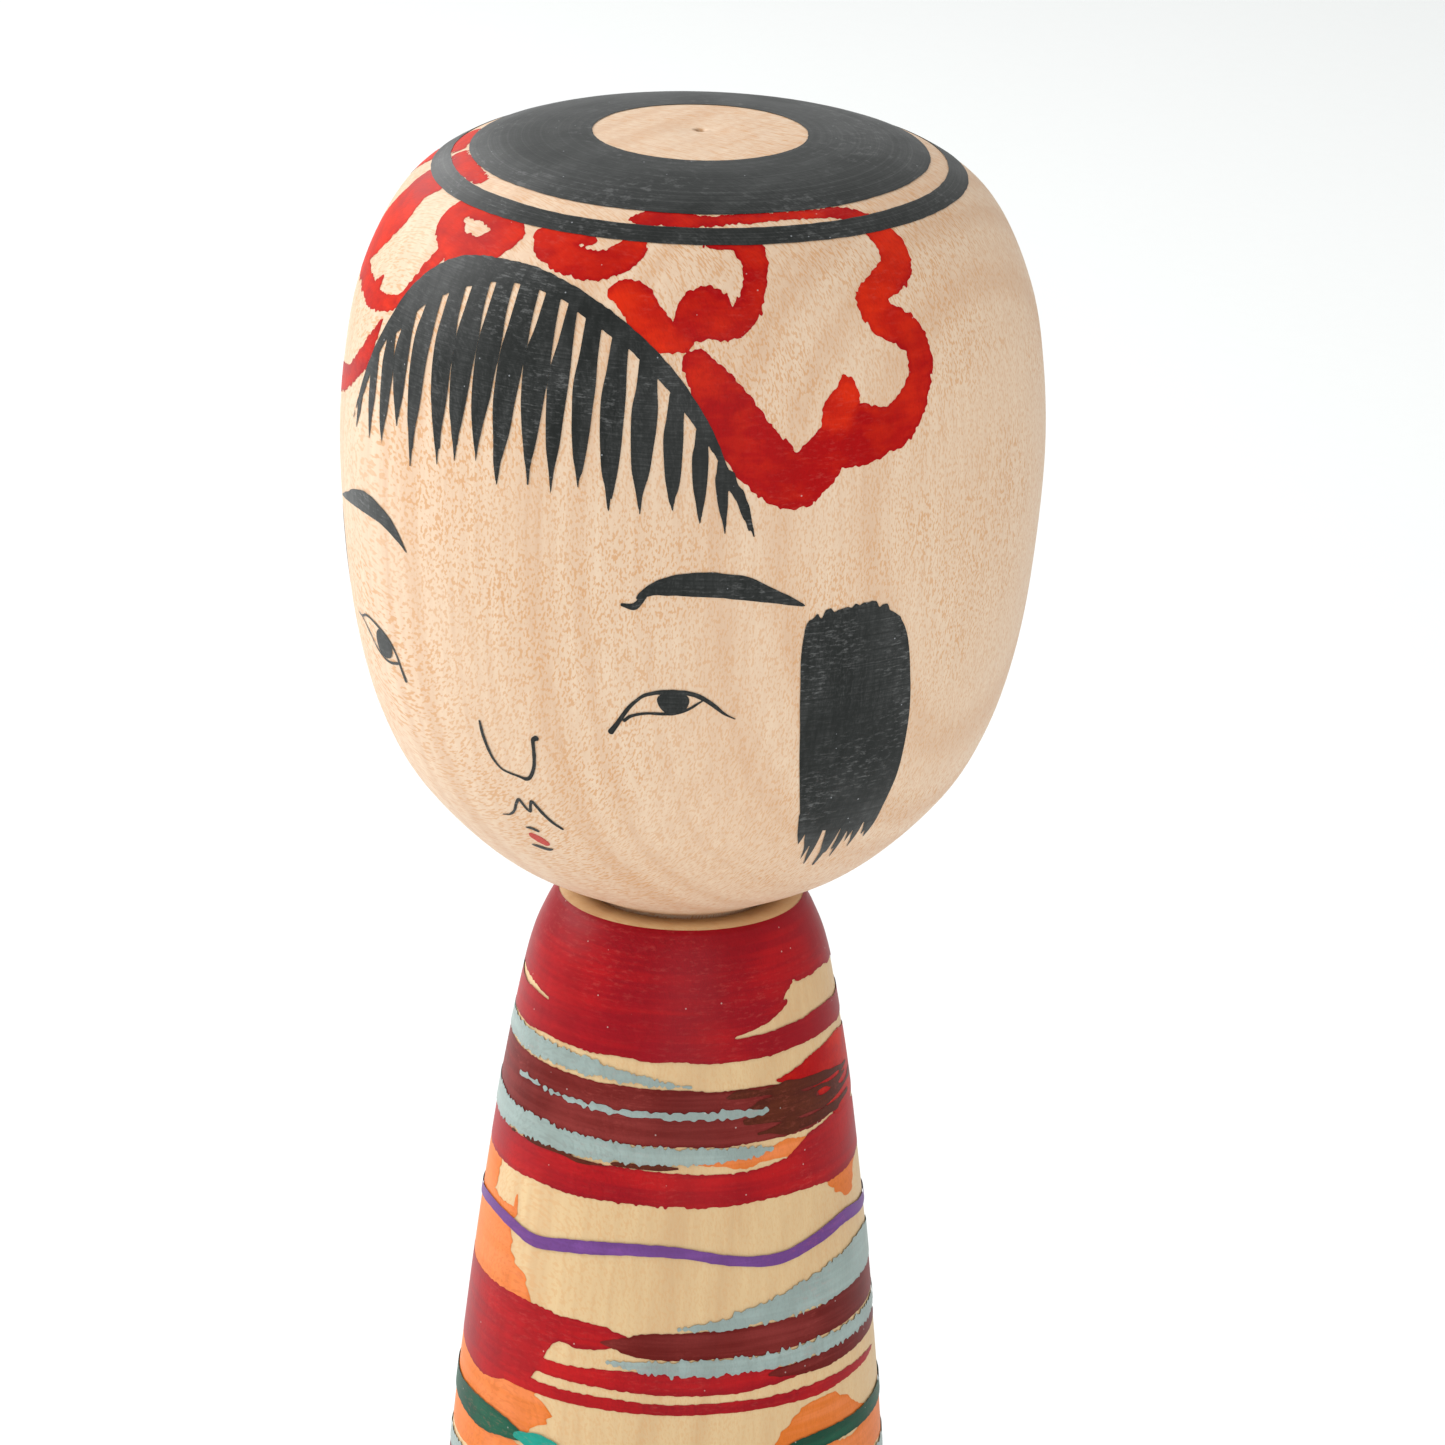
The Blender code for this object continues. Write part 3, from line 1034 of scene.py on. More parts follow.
# Its strands: (angle at the root, half width at the root, angle, along and half width at the widest,
# angle and along at the tip), angles in degrees, the rest in millimetres
FRINGE_STRANDS = [
    (-36.2, 0.40, -37.2, 43.6, 0.42, -38.3, 46.9),
    (-33.0, 0.60, -33.1, 41.0, 0.74, -32.4, 46.6),
    (-29.0, 0.62, -28.5, 40.0, 0.98, -28.0, 46.4),
    (-24.8, 0.72, -24.8, 38.4, 1.08, -23.8, 44.2),
    (-19.8, 0.82, -20.0, 36.6, 1.14, -19.4, 46.8),
    (-15.0, 0.86, -14.4, 36.4, 1.19, -13.0, 45.9),
    (-9.9, 0.88, -9.7, 35.6, 1.25, -9.3, 45.1),
    (-4.9, 0.88, -4.8, 35.4, 1.23, -5.0, 44.6),
    (0.4, 0.96, 0.0, 36.0, 1.26, -0.7, 46.4),
    (5.5, 0.70, 4.8, 36.2, 1.22, 5.0, 45.6),
    (9.6, 0.44, 9.1, 37.0, 0.92, 9.0, 46.4),
    (13.9, 0.76, 13.6, 37.6, 0.98, 13.6, 46.1),
    (19.0, 0.76, 18.6, 38.4, 1.08, 18.7, 47.6),
    (24.0, 0.76, 23.8, 39.2, 1.10, 23.6, 47.1),
    (28.9, 0.66, 28.6, 41.2, 0.84, 28.7, 47.1),
    (33.1, 0.50, 32.9, 42.8, 0.72, 33.0, 48.1),
    (36.3, 0.40, 36.3, 44.6, 0.56, 37.0, 48.8),
    (37.4, 0.55, 39.4, 46.0, 0.49, 41.6, 49.4),
]


FRINGE_HANG = (38.0, 46.0)  # where its strands begin to fray, and where they are frayed most


class KOKESHI_OT_fringe(bpy.types.Operator):
    """Brushes the fringe: a cap of hair with tapering strands that split at their tips"""

    bl_idname = "kokeshi.fringe"
    bl_label = "Fringe"

    def execute(self, context):
        canvas = canvas_for(HEAD_SKIN, (-46, 46), (25, 52), grid=0.6)
        cap = np.array(FRINGE_CAP)
        upper = [(angle, top) for angle, top, hang in FRINGE_CAP]
        under = [(angle, hang) for angle, top, hang in reversed(FRINGE_CAP)]
        canvas.patch(upper + under, steps=3)
        for root, root_half, middle, middle_along, half, tip, tip_along in FRINGE_STRANDS:
            start = float(np.interp(root, cap[:, 0], cap[:, 2])) - 0.5
            bend = (start + middle_along) / 2
            canvas.stroke([
                (root, start, root_half),
                (root * 0.6 + middle * 0.4, bend, root_half * 0.45 + half * 0.5),
                (middle, middle_along, half),
                (middle * 0.5 + tip * 0.5, middle_along * 0.5 + tip_along * 0.5, half * 0.76),
                (middle * 0.2 + tip * 0.8, middle_along * 0.2 + tip_along * 0.8, half * 0.34),
                (tip, tip_along, 0.03),
            ])
            if half < 0.5:
                continue
            spread = 0.45 * half
            hanging = tip_along - middle_along
            for side, reach in ((-1, 0.22), (1, 0.10), (0.3, -0.06)):
                lower = middle * 0.4 + tip * 0.6
                canvas.stroke([
                    (middle + side * spread, middle_along + hanging * 0.1, 0.30 * half),
                    (lower + side * spread, tip_along - hanging * (reach + 0.3), 0.18 * half),
                    (tip + side * spread * 0.9, tip_along - hanging * reach, 0.02),
                ])
        hang = canvas.ramp(*FRINGE_HANG)
        canvas.roughen("fringe", 21)
        canvas.roughen("fringe tips", 22, hang)
        paint_head("fringe", canvas, ink(), facets=0.8)
        return {"FINISHED"}


# A lock of hair beside the cheek: its outline and its strands (root, tip), for the doll's left
LOCK_OUTLINE = [
    (50.9, 57.6), (53, 56.9), (56, 56.5), (60, 56.3), (64, 56.7), (66.6, 57.4), (68.3, 58.6),
    (69.9, 60.4), (71.4, 64), (72.6, 68), (73.2, 72), (73.2, 75.5), (72.4, 78.5), (69, 79.4),
    (64, 79.6), (59, 79.3), (55.5, 78.6), (54.2, 77.4), (53, 75), (52, 72), (51.1, 68), (50.5, 64),
    (50.2, 60.5),
]
LOCK_STRANDS = [
    (54.9, 55.6, 81.2), (57.0, 58.0, 83.4), (58.7, 59.8, 84.4), (61.2, 62.6, 84.9), (63.2, 63.6, 82.8),
    (64.7, 65.8, 84.2), (66.5, 67.0, 81.9), (68.2, 68.9, 82.8), (70.2, 70.7, 81.0), (71.7, 71.9, 81.9),
]


LOCK_HANG = (77.0, 82.0)  # where its strands begin, and where they are frayed most
LOCK_TOP = (58.5, 57.0)  # from where its top frays, upwards


class KOKESHI_OT_side_locks(bpy.types.Operator):
    """Brushes the lock of hair beside each cheek"""

    bl_idname = "kokeshi.side_locks"
    bl_label = "Side Locks"

    def execute(self, context):
        for name, side, shift, seed in (("side_lock_left", 1, 0, 31), ("side_lock_right", -1, 6, 32)):
            limits = sorted((side * (46 + shift), side * (78 + shift)))
            canvas = canvas_for(HEAD_SKIN, limits, (53, 88), grid=0.6)
            canvas.patch([(side * (angle + shift), along) for angle, along in LOCK_OUTLINE])
            for root, tip, end in LOCK_STRANDS:
                canvas.stroke([
                    (side * (root + shift), LOCK_HANG[0], 0.55),
                    (side * ((root + tip) / 2 + shift), (LOCK_HANG[0] + end) / 2, 0.38),
                    (side * (tip + shift), end, 0.04),
                ])
            hang = canvas.ramp(*LOCK_HANG)
            top = canvas.ramp(*LOCK_TOP)
            canvas.roughen("lock", seed)
            canvas.roughen("lock tips", seed + 40, hang)
            canvas.roughen("lock top", seed + 80, top)
            paint_head(name, canvas, ink())
        return {"FINISHED"}


# The ribbons in the hair, as brush strokes of (angle, along, half width), with how thin the dye is
RIBBON_STROKES = [
    # the large loop on the doll's left, from the fringe out and back under the ring
    (0.00, [(32, 34.8, 1.3), (35, 37.0, 2.0), (38.5, 39.8, 2.4), (42.5, 42.6, 2.5),
            (46.5, 44.6, 2.4), (50, 44.4, 2.2), (54, 42.3, 2.0), (59, 41.3, 2.7)]),
    (0.30, [(59, 41.3, 2.6), (65, 41.2, 2.0), (69, 39.5, 1.6), (71.6, 37.0, 1.2), (72, 34.5, 1.4),
            (69.5, 33.0, 1.5), (66, 31.8, 1.7)]),
    (0.45, [(66, 31.8, 1.7), (64.5, 30.2, 1.5), (67, 29.0, 1.3), (71.5, 28.0, 1.5),
            (73.3, 26.2, 1.5), (73, 24.3, 1.5), (70, 22.0, 1.0)]),
    (0.30, [(70, 22.0, 1.0), (66, 21.2, 0.8), (60, 20.9, 0.6), (50, 20.8, 0.6), (40, 20.9, 0.7),
            (33, 21.3, 0.8), (25, 21.0, 1.1), (20, 21.2, 1.0), (16.5, 21.5, 0.5)]),
    (0.55, [(57, 36.2, 0.3), (57.2, 37.5, 0.9), (56, 39.5, 1.8), (56, 41.0, 1.5)]),
    # the small loop inside it
    (0.50, [(18, 29.0, 1.1), (20.5, 29.5, 1.5), (23.5, 31.3, 1.6), (26.5, 32.6, 1.4),
            (29.5, 32.6, 1.1)]),
    (0.20, [(29.5, 32.4, 1.0), (33, 30.2, 2.1), (37, 31.2, 1.5), (40.5, 30.2, 1.3),
            (42.3, 28.0, 1.15), (42.7, 26.0, 1.1), (42, 24.6, 1.2), (40, 23.6, 1.2),
            (36, 24.0, 0.6), (33.5, 24.1, 0.3)]),
    # the knot over the fringe
    (0.40, [(-1, 24.8, 1.0), (3, 26.0, 1.6), (9, 26.8, 1.5), (15, 26.4, 1.5), (18, 25.0, 1.2),
            (18.5, 23.8, 1.0)]),
    (0.60, [(-1, 24.0, 0.6), (5, 24.2, 0.9), (9, 24.6, 0.6)]),
    # the loops on the doll's right
    (0.35, [(-8.5, 25.4, 1.1), (-11, 26.6, 1.6), (-14.5, 27.6, 1.5), (-19, 28.0, 1.5),
            (-23, 27.5, 1.5), (-26.5, 25.9, 1.5), (-26, 24.6, 1.2), (-20, 24.2, 0.9),
            (-14, 24.4, 1.2), (-10, 24.8, 1.2)]),
    (0.35, [(-23.5, 29.3, 0.9), (-26.5, 31.8, 0.6), (-29.5, 34.0, 0.6), (-33, 35.0, 0.7),
            (-37, 35.4, 0.9), (-41, 35.4, 1.1), (-47, 35.0, 1.0), (-53, 34.4, 1.1)]),
    (0.35, [(-41, 34.9, 1.0), (-39.6, 34.0, 0.5), (-38.9, 33.3, 0.15)]),
    (0.15, [(-33.5, 36.5, 0.3), (-36, 39.0, 0.8), (-40, 41.5, 1.1), (-46, 43.5, 1.1),
            (-55, 45.0, 1.3), (-65, 46.3, 1.3), (-75, 46.5, 1.2), (-80, 44.5, 1.4),
            (-81, 42.0, 1.6)]),
    (0.35, [(-46.5, 23.5, 2.9), (-48.5, 25.8, 2.7), (-48, 28.0, 3.2), (-52, 30.4, 2.9),
            (-56, 32.4, 2.4), (-58, 34.2, 1.5), (-53, 34.8, 1.0)]),
    (0.50, [(-54, 21.2, 0.8), (-44, 21.2, 1.0), (-32, 21.3, 0.8)]),
    (0.50, [(-75, 21.3, 0.8), (-66, 21.2, 1.0), (-60, 21.3, 0.8)]),
    (0.35, [(-62, 22.0, 0.9), (-69, 25.0, 1.5), (-76, 27.5, 1.6), (-80, 31.0, 1.7),
            (-76, 34.5, 1.7), (-80, 38.5, 1.8), (-82, 42.0, 1.7)]),
]


class KOKESHI_OT_ribbons(bpy.types.Operator):
    """Brushes the red ribbons that loop out of the hair"""

    bl_idname = "kokeshi.ribbons"
    bl_label = "Hair Ribbons"

    def execute(self, context):
        canvas = canvas_for(HEAD_SKIN, (-90, 82), (19, 50), grid=0.8)
        for thinness, nodes in RIBBON_STROKES:
            canvas.stroke(nodes, thinness)
        canvas.roughen("ribbon sway", 41)
        canvas.roughen("ribbon", 42)
        canvas.roughen("ribbon grain", 43)
        paint_head("hair_ribbons", canvas, dye("red_dye"))
        return {"FINISHED"}


# The brow over the doll's left eye, its hooked end, and the plainer brow over the right
LEFT_BROW = [
    (23.4, 55.2), (25, 54.0), (28, 53.1), (31, 52.7), (35, 52.55), (38, 52.7), (41, 53.0), (44, 53.8),
    (47, 54.7), (50.4, 55.9), (46, 55.55), (42, 55.2), (36, 54.85), (30, 54.75), (26, 54.8),
]
LEFT_BROW_HOOK = [(24.6, 54.9, 0.25), (23.9, 55.5, 0.28), (22.9, 55.95, 0.32), (21.2, 55.85, 0.14)]
RIGHT_BROW = [
    (-20.3, 55.5), (-22, 54.3), (-24, 53.3), (-26, 52.7), (-30, 52.1), (-33, 52.0), (-36, 52.2),
    (-40, 52.8), (-43, 53.5), (-46, 54.1), (-50, 55.0), (-45, 54.6), (-41, 54.3), (-37, 54.1),
    (-33, 53.95), (-29, 53.95), (-25.5, 54.3), (-22.5, 54.9),
]


class KOKESHI_OT_brows(bpy.types.Operator):
    """Brushes the arched brows"""

    bl_idname = "kokeshi.brows"
    bl_label = "Brows"

    def execute(self, context):
        left = canvas_for(HEAD_SKIN, (18, 54), (50, 59), grid=0.5)
        left.patch(LEFT_BROW)
        left.stroke(LEFT_BROW_HOOK)
        left.roughen("brow", 51)
        paint_head("brow_left", left, ink(), facets=0.7)
        right = canvas_for(HEAD_SKIN, (-54, -16), (49, 58), grid=0.5)
        right.patch(RIGHT_BROW)
        right.roughen("brow", 52)
        paint_head("brow_right", right, ink(), facets=0.7)
        return {"FINISHED"}


# Each eye: lines of (angle, along, half width), then the pupil's outline
LEFT_EYE_LINES = [
    [(19.2, 67.9, 0.28), (20.5, 66.9, 0.20), (22, 65.6, 0.18), (23.5, 64.7, 0.16), (25, 64.1, 0.16),
     (27.5, 63.75, 0.20), (30, 63.65, 0.20), (32.5, 63.8, 0.22), (34.3, 64.2, 0.22),
     (36, 64.8, 0.20), (38, 65.7, 0.12), (39.8, 66.2, 0.04)],
    [(21.5, 66.7, 0.15), (22.7, 66.2, 0.15), (25, 65.85, 0.12), (28, 65.8, 0.15), (30, 65.7, 0.15),
     (32, 65.3, 0.13), (33.5, 64.75, 0.10), (34.5, 64.4, 0.07)],
]
LEFT_PUPIL = [(26.9, 64.4), (28.0, 63.8), (29.8, 63.65), (31.6, 63.9), (32.2, 64.5), (31.6, 65.3),
              (29.8, 65.8), (27.8, 65.5)]
RIGHT_EYE_LINES = [
    [(-24.6, 68.1, 0.22), (-25.4, 67.2, 0.17), (-26.5, 66.0, 0.15), (-28.2, 65.05, 0.15),
     (-30.5, 64.5, 0.14), (-33, 64.2, 0.13), (-36, 64.05, 0.11), (-38.5, 64.2, 0.10),
     (-41, 64.7, 0.09), (-43.5, 64.7, 0.03)],
    [(-26.0, 66.7, 0.13), (-27.6, 66.95, 0.14), (-29.5, 67.15, 0.13), (-31.4, 67.1, 0.11),
     (-34.3, 66.6, 0.09), (-36.5, 65.85, 0.08), (-39, 65.1, 0.08), (-41, 64.7, 0.06)],
]
RIGHT_PUPIL = [(-27.8, 65.5), (-29, 64.8), (-30.7, 64.45), (-32.4, 64.5), (-33.7, 65.2),
               (-33.7, 66.2), (-32.4, 66.85), (-30.3, 66.9), (-28.5, 66.5)]


class KOKESHI_OT_eyes(bpy.types.Operator):
    """Draws the lids and the pupil of each narrow eye"""

    bl_idname = "kokeshi.eyes"
    bl_label = "Eyes"

    def execute(self, context):
        for name, angles, lines, pupil, seed in (
            ("eye_left", (16, 43), LEFT_EYE_LINES, LEFT_PUPIL, 61),
            ("eye_right", (-46, -21), RIGHT_EYE_LINES, RIGHT_PUPIL, 62),
        ):
            canvas = canvas_for(HEAD_SKIN, angles, (61.5, 70), grid=0.35)
            for nodes in lines:
                canvas.stroke(nodes)
            canvas.patch(pupil)
            canvas.roughen("face line", seed)
            paint_head(name, canvas, ink(), facets=0.5)
        return {"FINISHED"}


NOSE_LINE = [
    (-5.9, 69.3, 0.12), (-5.7, 70.5, 0.18), (-5, 72.0, 0.17), (-4.2, 73.0, 0.14), (-2.8, 73.8, 0.11),
    (-1, 74.05, 0.11), (1, 74.2, 0.14), (2.2, 74.3, 0.20), (3.3, 73.9, 0.18), (4.3, 72.8, 0.17),
    (4.7, 71.5, 0.18), (4.8, 70.3, 0.18), (4.9, 69.9, 0.20), (5.5, 69.7, 0.26),
]
MOUTH_LINE = [
    (-6.2, 79.5, 0.05), (-4.2, 79.2, 0.10), (-2.6, 78.5, 0.13), (-1.5, 77.5, 0.14), (-0.6, 76.95, 0.17),
    (0, 77.4, 0.15), (0.7, 77.95, 0.15), (1.3, 78.1, 0.15), (1.7, 77.4, 0.13), (2.3, 76.85, 0.16),
    (3.2, 77.4, 0.17), (4.3, 78.2, 0.18), (5.8, 79.0, 0.18), (7.5, 79.6, 0.14),
]
LIP_DASHES = [
    [(-1.2, 80.5, 0.10), (0, 80.45, 0.20), (1.4, 80.65, 0.15)],
    [(-2.3, 83.2, 0.10), (-0.5, 83.3, 0.25), (1.5, 83.4, 0.22), (2.8, 83.2, 0.08)],
]
LIP = [(-0.6, 81.7, 0.45), (0.5, 82.0, 0.60), (1.6, 82.35, 0.50)]


class KOKESHI_OT_nose_and_mouth(bpy.types.Operator):
    """Draws the nose, the mouth and its red lip"""

    bl_idname = "kokeshi.nose_and_mouth"
    bl_label = "Nose and Mouth"

    def execute(self, context):
        nose = canvas_for(HEAD_SKIN, (-9, 9), (67.5, 76), grid=0.35)
        nose.stroke(NOSE_LINE)
        nose.roughen("face line", 71)
        paint_head("nose", nose, ink(), facets=0.5)
        mouth = canvas_for(HEAD_SKIN, (-9.5, 10.5), (75.5, 85), grid=0.35)
        mouth.stroke(MOUTH_LINE)
        for dash in LIP_DASHES:
            mouth.stroke(dash)
        mouth.roughen("face line", 72)
        paint_head("mouth", mouth, ink(), facets=0.5)
        lip = canvas_for(HEAD_SKIN, (-4, 6), (80, 84.5), grid=0.35)
        lip.stroke(LIP)
        lip.roughen("lip", 73)
        paint_head("lip", lip, dye("lip_dye"), facets=0.5)
        return {"FINISHED"}


# The red collar under the rim, and the bare notch in it: (angle, height)
COLLAR_LOW, COLLAR_TOP = 158.6, 169.75
RIM_MARGIN = 1.5  # how far below its top the collar's edge begins to waver
COLLAR_REACH = (156.5, 169.88)
COLLAR_SHADE = -0.1  # below 0, where the dye lies denser than elsewhere
COLLAR_NOTCH = [
    (53, 160.5), (60, 160.95), (66, 161.25), (72, 161.9), (76.5, 162.9), (74.5, 163.1), (79, 164.2),
    (90, 164.3), (105, 164.0), (120, 163.8), (131, 162.5), (134, 161.2), (126, 160.8), (105, 161.0),
    (85, 160.9), (70, 160.75),
]
COLLAR_SLIT = [(-62, 162.3, 0.10), (-48, 162.2, 0.22), (-34, 162.0, 0.15), (-24, 161.8, 0.03)]

# The pattern of one height of the body. A band is how thin its dye lies, from 0 up, and its knots of
# (angle, low edge, high edge). Where the high edge is the lower one, the wood stays bare.
RED_BANDS = [
    (0.25, [(-180, 145.6, 148.8), (-60, 145.5, 148.9), (20, 145.5, 148.8), (64, 145.6, 148.7),
            (72, 145.6, 149.2), (80, 145.5, 150.4), (90, 145.3, 151.0), (110, 145.5, 151.0),
            (125, 145.7, 149.6), (150, 145.7, 148.7)]),
    (0.05, [(-180, 128, 127), (-150, 127.0, 132.5), (-120, 126.3, 134.3), (-60, 126.3, 134.3),
            (-20, 126.3, 134.4), (-8, 128.4, 134.3), (-4, 131.0, 134.2), (6, 131.6, 134.1),
            (17, 132.3, 133.7), (22, 133.3, 133.0), (30, 134, 132), (100, 134, 132),
            (150, 131, 130)]),
    (0.50, [(-180, 128.5, 129.6), (-120, 128.4, 129.9), (-3, 128.4, 129.8), (12, 128.3, 130.0),
            (40, 128.2, 130.4), (66, 128.4, 129.7), (76, 128.9, 129.1), (90, 129.4, 128.4),
            (140, 129.2, 128.8), (160, 128.6, 129.5)]),
    (0.45, [(-180, 126.4, 127.3), (-60, 126.2, 127.4), (-3, 126.3, 127.5), (40, 126.3, 127.4),
            (90, 126.4, 127.3), (108, 126.7, 127.0), (118, 127.2, 126.6), (150, 126.8, 126.9),
            (165, 126.4, 127.3)]),
]
ORANGE_BANDS = [
    (0.30, [(-180, 150.2, 149.6), (20, 150.2, 149.4), (30, 149.6, 149.8), (45, 149.2, 150.2),
            (75, 149.1, 150.3), (85, 149.4, 149.9), (92, 149.8, 149.2)]),
    (0.10, [(-180, 122.9, 126.2), (-60, 122.8, 126.4), (-30, 122.8, 126.4), (-8, 122.8, 126.3),
            (-3, 124, 125), (1, 125.4, 124), (40, 126, 123), (58, 123.4, 122.2), (64, 122.2, 123.4),
            (70, 121.8, 125.2), (78, 121.6, 125.8), (86, 121.6, 125.6), (92, 121.8, 124.2),
            (99, 122.6, 122.8), (108, 123.6, 122), (140, 124.6, 123.8), (160, 123.2, 125.8)]),
    (0.20, [(-180, 117.6, 120.9), (-60, 117.5, 121.2), (0, 117.6, 120.8), (90, 117.5, 121.0)]),
    (0.05, [(-180, 146, 144), (82, 146, 145), (88, 144.9, 145.8), (94, 143.8, 146),
            (101, 142.9, 146), (105, 143.4, 146), (108, 145, 145.8), (112, 146, 145)]),
]
SCARLET_STARTS = [
    (0.00, [(-180, 157, 156), (66, 156.6, 156.0), (72, 155.6, 156.4), (84, 154.6, 157.2),
            (96, 151.0, 157.7), (106, 150.8, 157.9), (118, 151.0, 157.3), (134, 152.5, 156.2),
            (146, 156, 155)]),
]
ORANGE_FIELD = [
    (-165, 145.8), (-100, 145.8), (-37, 145.8), (-38, 143.6), (-40, 142.2), (-33, 141.9),
    (-25.4, 142.1), (-24.2, 143.4), (-22.8, 141.7), (-26.5, 140.2), (-22, 137.6), (-15, 136.1),
    (-11.5, 134.1), (-60, 133.8), (-120, 133.8), (-152, 134.4), (-160, 138.0),
]
MAROON_BANDS = [
    (0.10, [(-180, 151.0, 156.1), (-60, 151.0, 156.3), (20, 151.0, 156.1), (62, 151.0, 155.9),
            (80, 151.0, 155.4), (95, 151.2, 154.8), (112, 151.4, 154.6), (135, 151.2, 155.6)]),
    (0.10, [(-180, 134, 132), (4, 133.5, 132), (12, 132.5, 132.7), (22, 131.6, 133.6),
            (40, 131.4, 134.1), (70, 131.5, 134.3), (100, 131.8, 134.8), (130, 131.9, 134.7),
            (160, 132.8, 133.2), (170, 133.5, 132.4)]),
    (0.10, [(-180, 129.8, 128.8), (54, 129.8, 128.8), (62, 129.1, 129.6), (75, 128.6, 129.9),
            (100, 128.6, 130.0), (118, 128.9, 129.6), (128, 129.8, 128.8)]),
]
# Strokes of umber over the maroon, and a thin one below it: (angle, height, half width)
UMBER_STROKES = [
    [(40, 155.2, 0.04), (56, 155.3, 0.35), (80, 155.1, 0.60), (100, 154.7, 0.35),
     (112, 154.5, 0.04)],
    [(52, 154.2, 0.05), (64, 154.3, 0.42), (85, 154.1, 0.55), (102, 153.9, 0.30),
     (114, 153.8, 0.04)],
    [(56, 152.9, 0.05), (66, 153.1, 0.50), (84, 153.0, 0.65), (104, 152.9, 0.40),
     (118, 153.0, 0.04)],
    [(60, 151.7, 0.05), (70, 151.8, 0.35), (90, 151.8, 0.50), (110, 151.9, 0.05)],
    [(-32, 149.0, 0.08), (-10, 149.0, 0.16), (15, 149.05, 0.16), (36, 149.2, 0.05)],
]
SLATE_BANDS = [
    (0.00, [(-180, 156.5, 158.2), (-60, 156.5, 158.3), (-12, 156.5, 158.2), (12, 156.5, 157.5),
            (30, 156.4, 156.8), (38, 156.5, 156.3), (60, 156.7, 155.6), (120, 156.7, 155.6),
            (140, 156.6, 156.8), (160, 156.5, 157.9)]),
    (0.00, [(-180, 149.1, 151.2), (-60, 149.0, 151.5), (-20, 149.1, 151.2), (20, 149.3, 151.0),
            (50, 149.6, 150.8), (62, 149.9, 150.5), (68, 150.4, 150.0), (110, 150.8, 149.6),
            (150, 150.3, 150.5), (165, 149.5, 151.0)]),
    (0.00, [(-180, 135, 134), (27, 135, 134), (34, 134.3, 134.4), (45, 134.2, 135.1),
            (60, 134.3, 136.3), (75, 134.4, 137.3), (90, 134.6, 138.1), (105, 134.8, 138.6),
            (125, 134.8, 137.6), (145, 134.6, 135.6), (158, 134.9, 134.6)]),
    (0.00, [(-180, 131.2, 130.4), (8, 131.4, 130.2), (15, 130.7, 130.9), (24, 130.1, 131.3),
            (50, 130.0, 131.4), (90, 130.0, 131.5), (125, 130.2, 131.3), (145, 130.6, 130.9),
            (155, 131.2, 130.4)]),
]
SLATE_DASH = [(-33, 154.2, 0.14), (-25, 154.15, 0.24), (-19, 154.1, 0.13), (-11, 154.0, 0.22),
              (0, 153.9, 0.25), (15, 153.8, 0.27), (35, 153.85, 0.31), (52, 153.8, 0.40),
              (64, 153.7, 0.22)]
VIOLET_LINE = [
    (-180, 140.8), (-120, 139.9), (-60, 140.3), (-40, 141.0), (-25, 140.7), (-15, 140.2),
    (0, 140.8), (20, 141.5), (35, 141.4), (50, 140.5), (65, 140.0), (80, 140.7), (95, 141.3),
    (110, 140.8), (145, 140.1),
]
VIOLET_HALF = 0.62
VIOLET_NARROWING = 0.22  # the share of its width that the line loses between its crests and troughs
GREEN_BANDS = [
    (0.00, [(-180, 121.2, 122.6), (-60, 121.0, 122.8), (-15, 121.1, 122.6), (-8, 121.7, 122.0),
            (0, 122.4, 121.4), (54, 122.4, 121.4), (66, 121.4, 122.4), (90, 121.1, 122.7),
            (130, 121.2, 122.6)]),
]
TEAL_TIP = [(-13, 121.8, 0.30), (-8, 121.8, 0.70), (-2, 121.8, 0.75), (3, 121.7, 0.25)]

# Each repeat of the pattern: (how far it is dropped, in millimetres, and turned, in degrees)
REPEATS = [(0.0, 0), (41.0, 142), (80.0, -104), (119.0, 38)]
BODY_REACH = (4.5, 169.6)


def repeated(knots, drop, turn):
    """Knots of a band, moved down and round the body."""
    moved = []
    for angle, *heights in knots:
        wrapped = (angle + turn + 180) % 360 - 180
        moved.append((wrapped, *[height - drop for height in heights]))
    return moved


def bands_canvas(entries):
    """A canvas of the whole side with these (shade, knots) bands at every repeat of the pattern."""
    canvas = canvas_for(BODY_SKIN, WHOLE_TURN, BODY_REACH)
    for drop, turn in REPEATS:
        for shade, knots in entries:
            canvas.band(repeated(knots, drop, turn), shade)
    return canvas


def strokes_canvas(lines):
    """A canvas of the whole side with these strokes at every repeat of the pattern."""
    canvas = canvas_for(BODY_SKIN, WHOLE_TURN, BODY_REACH)
    for drop, turn in REPEATS:
        for line in lines:
            canvas.stroke([(angle + turn, height - drop, half) for angle, height, half in line])
    return canvas


def brushed_bands(entries, seed):
    """Bands with the edges of a brush that is held against the turning doll."""
    canvas = bands_canvas(entries)
    canvas.roughen("stripe", seed)
    canvas.roughen("stripe sway", seed + 1)
    return canvas


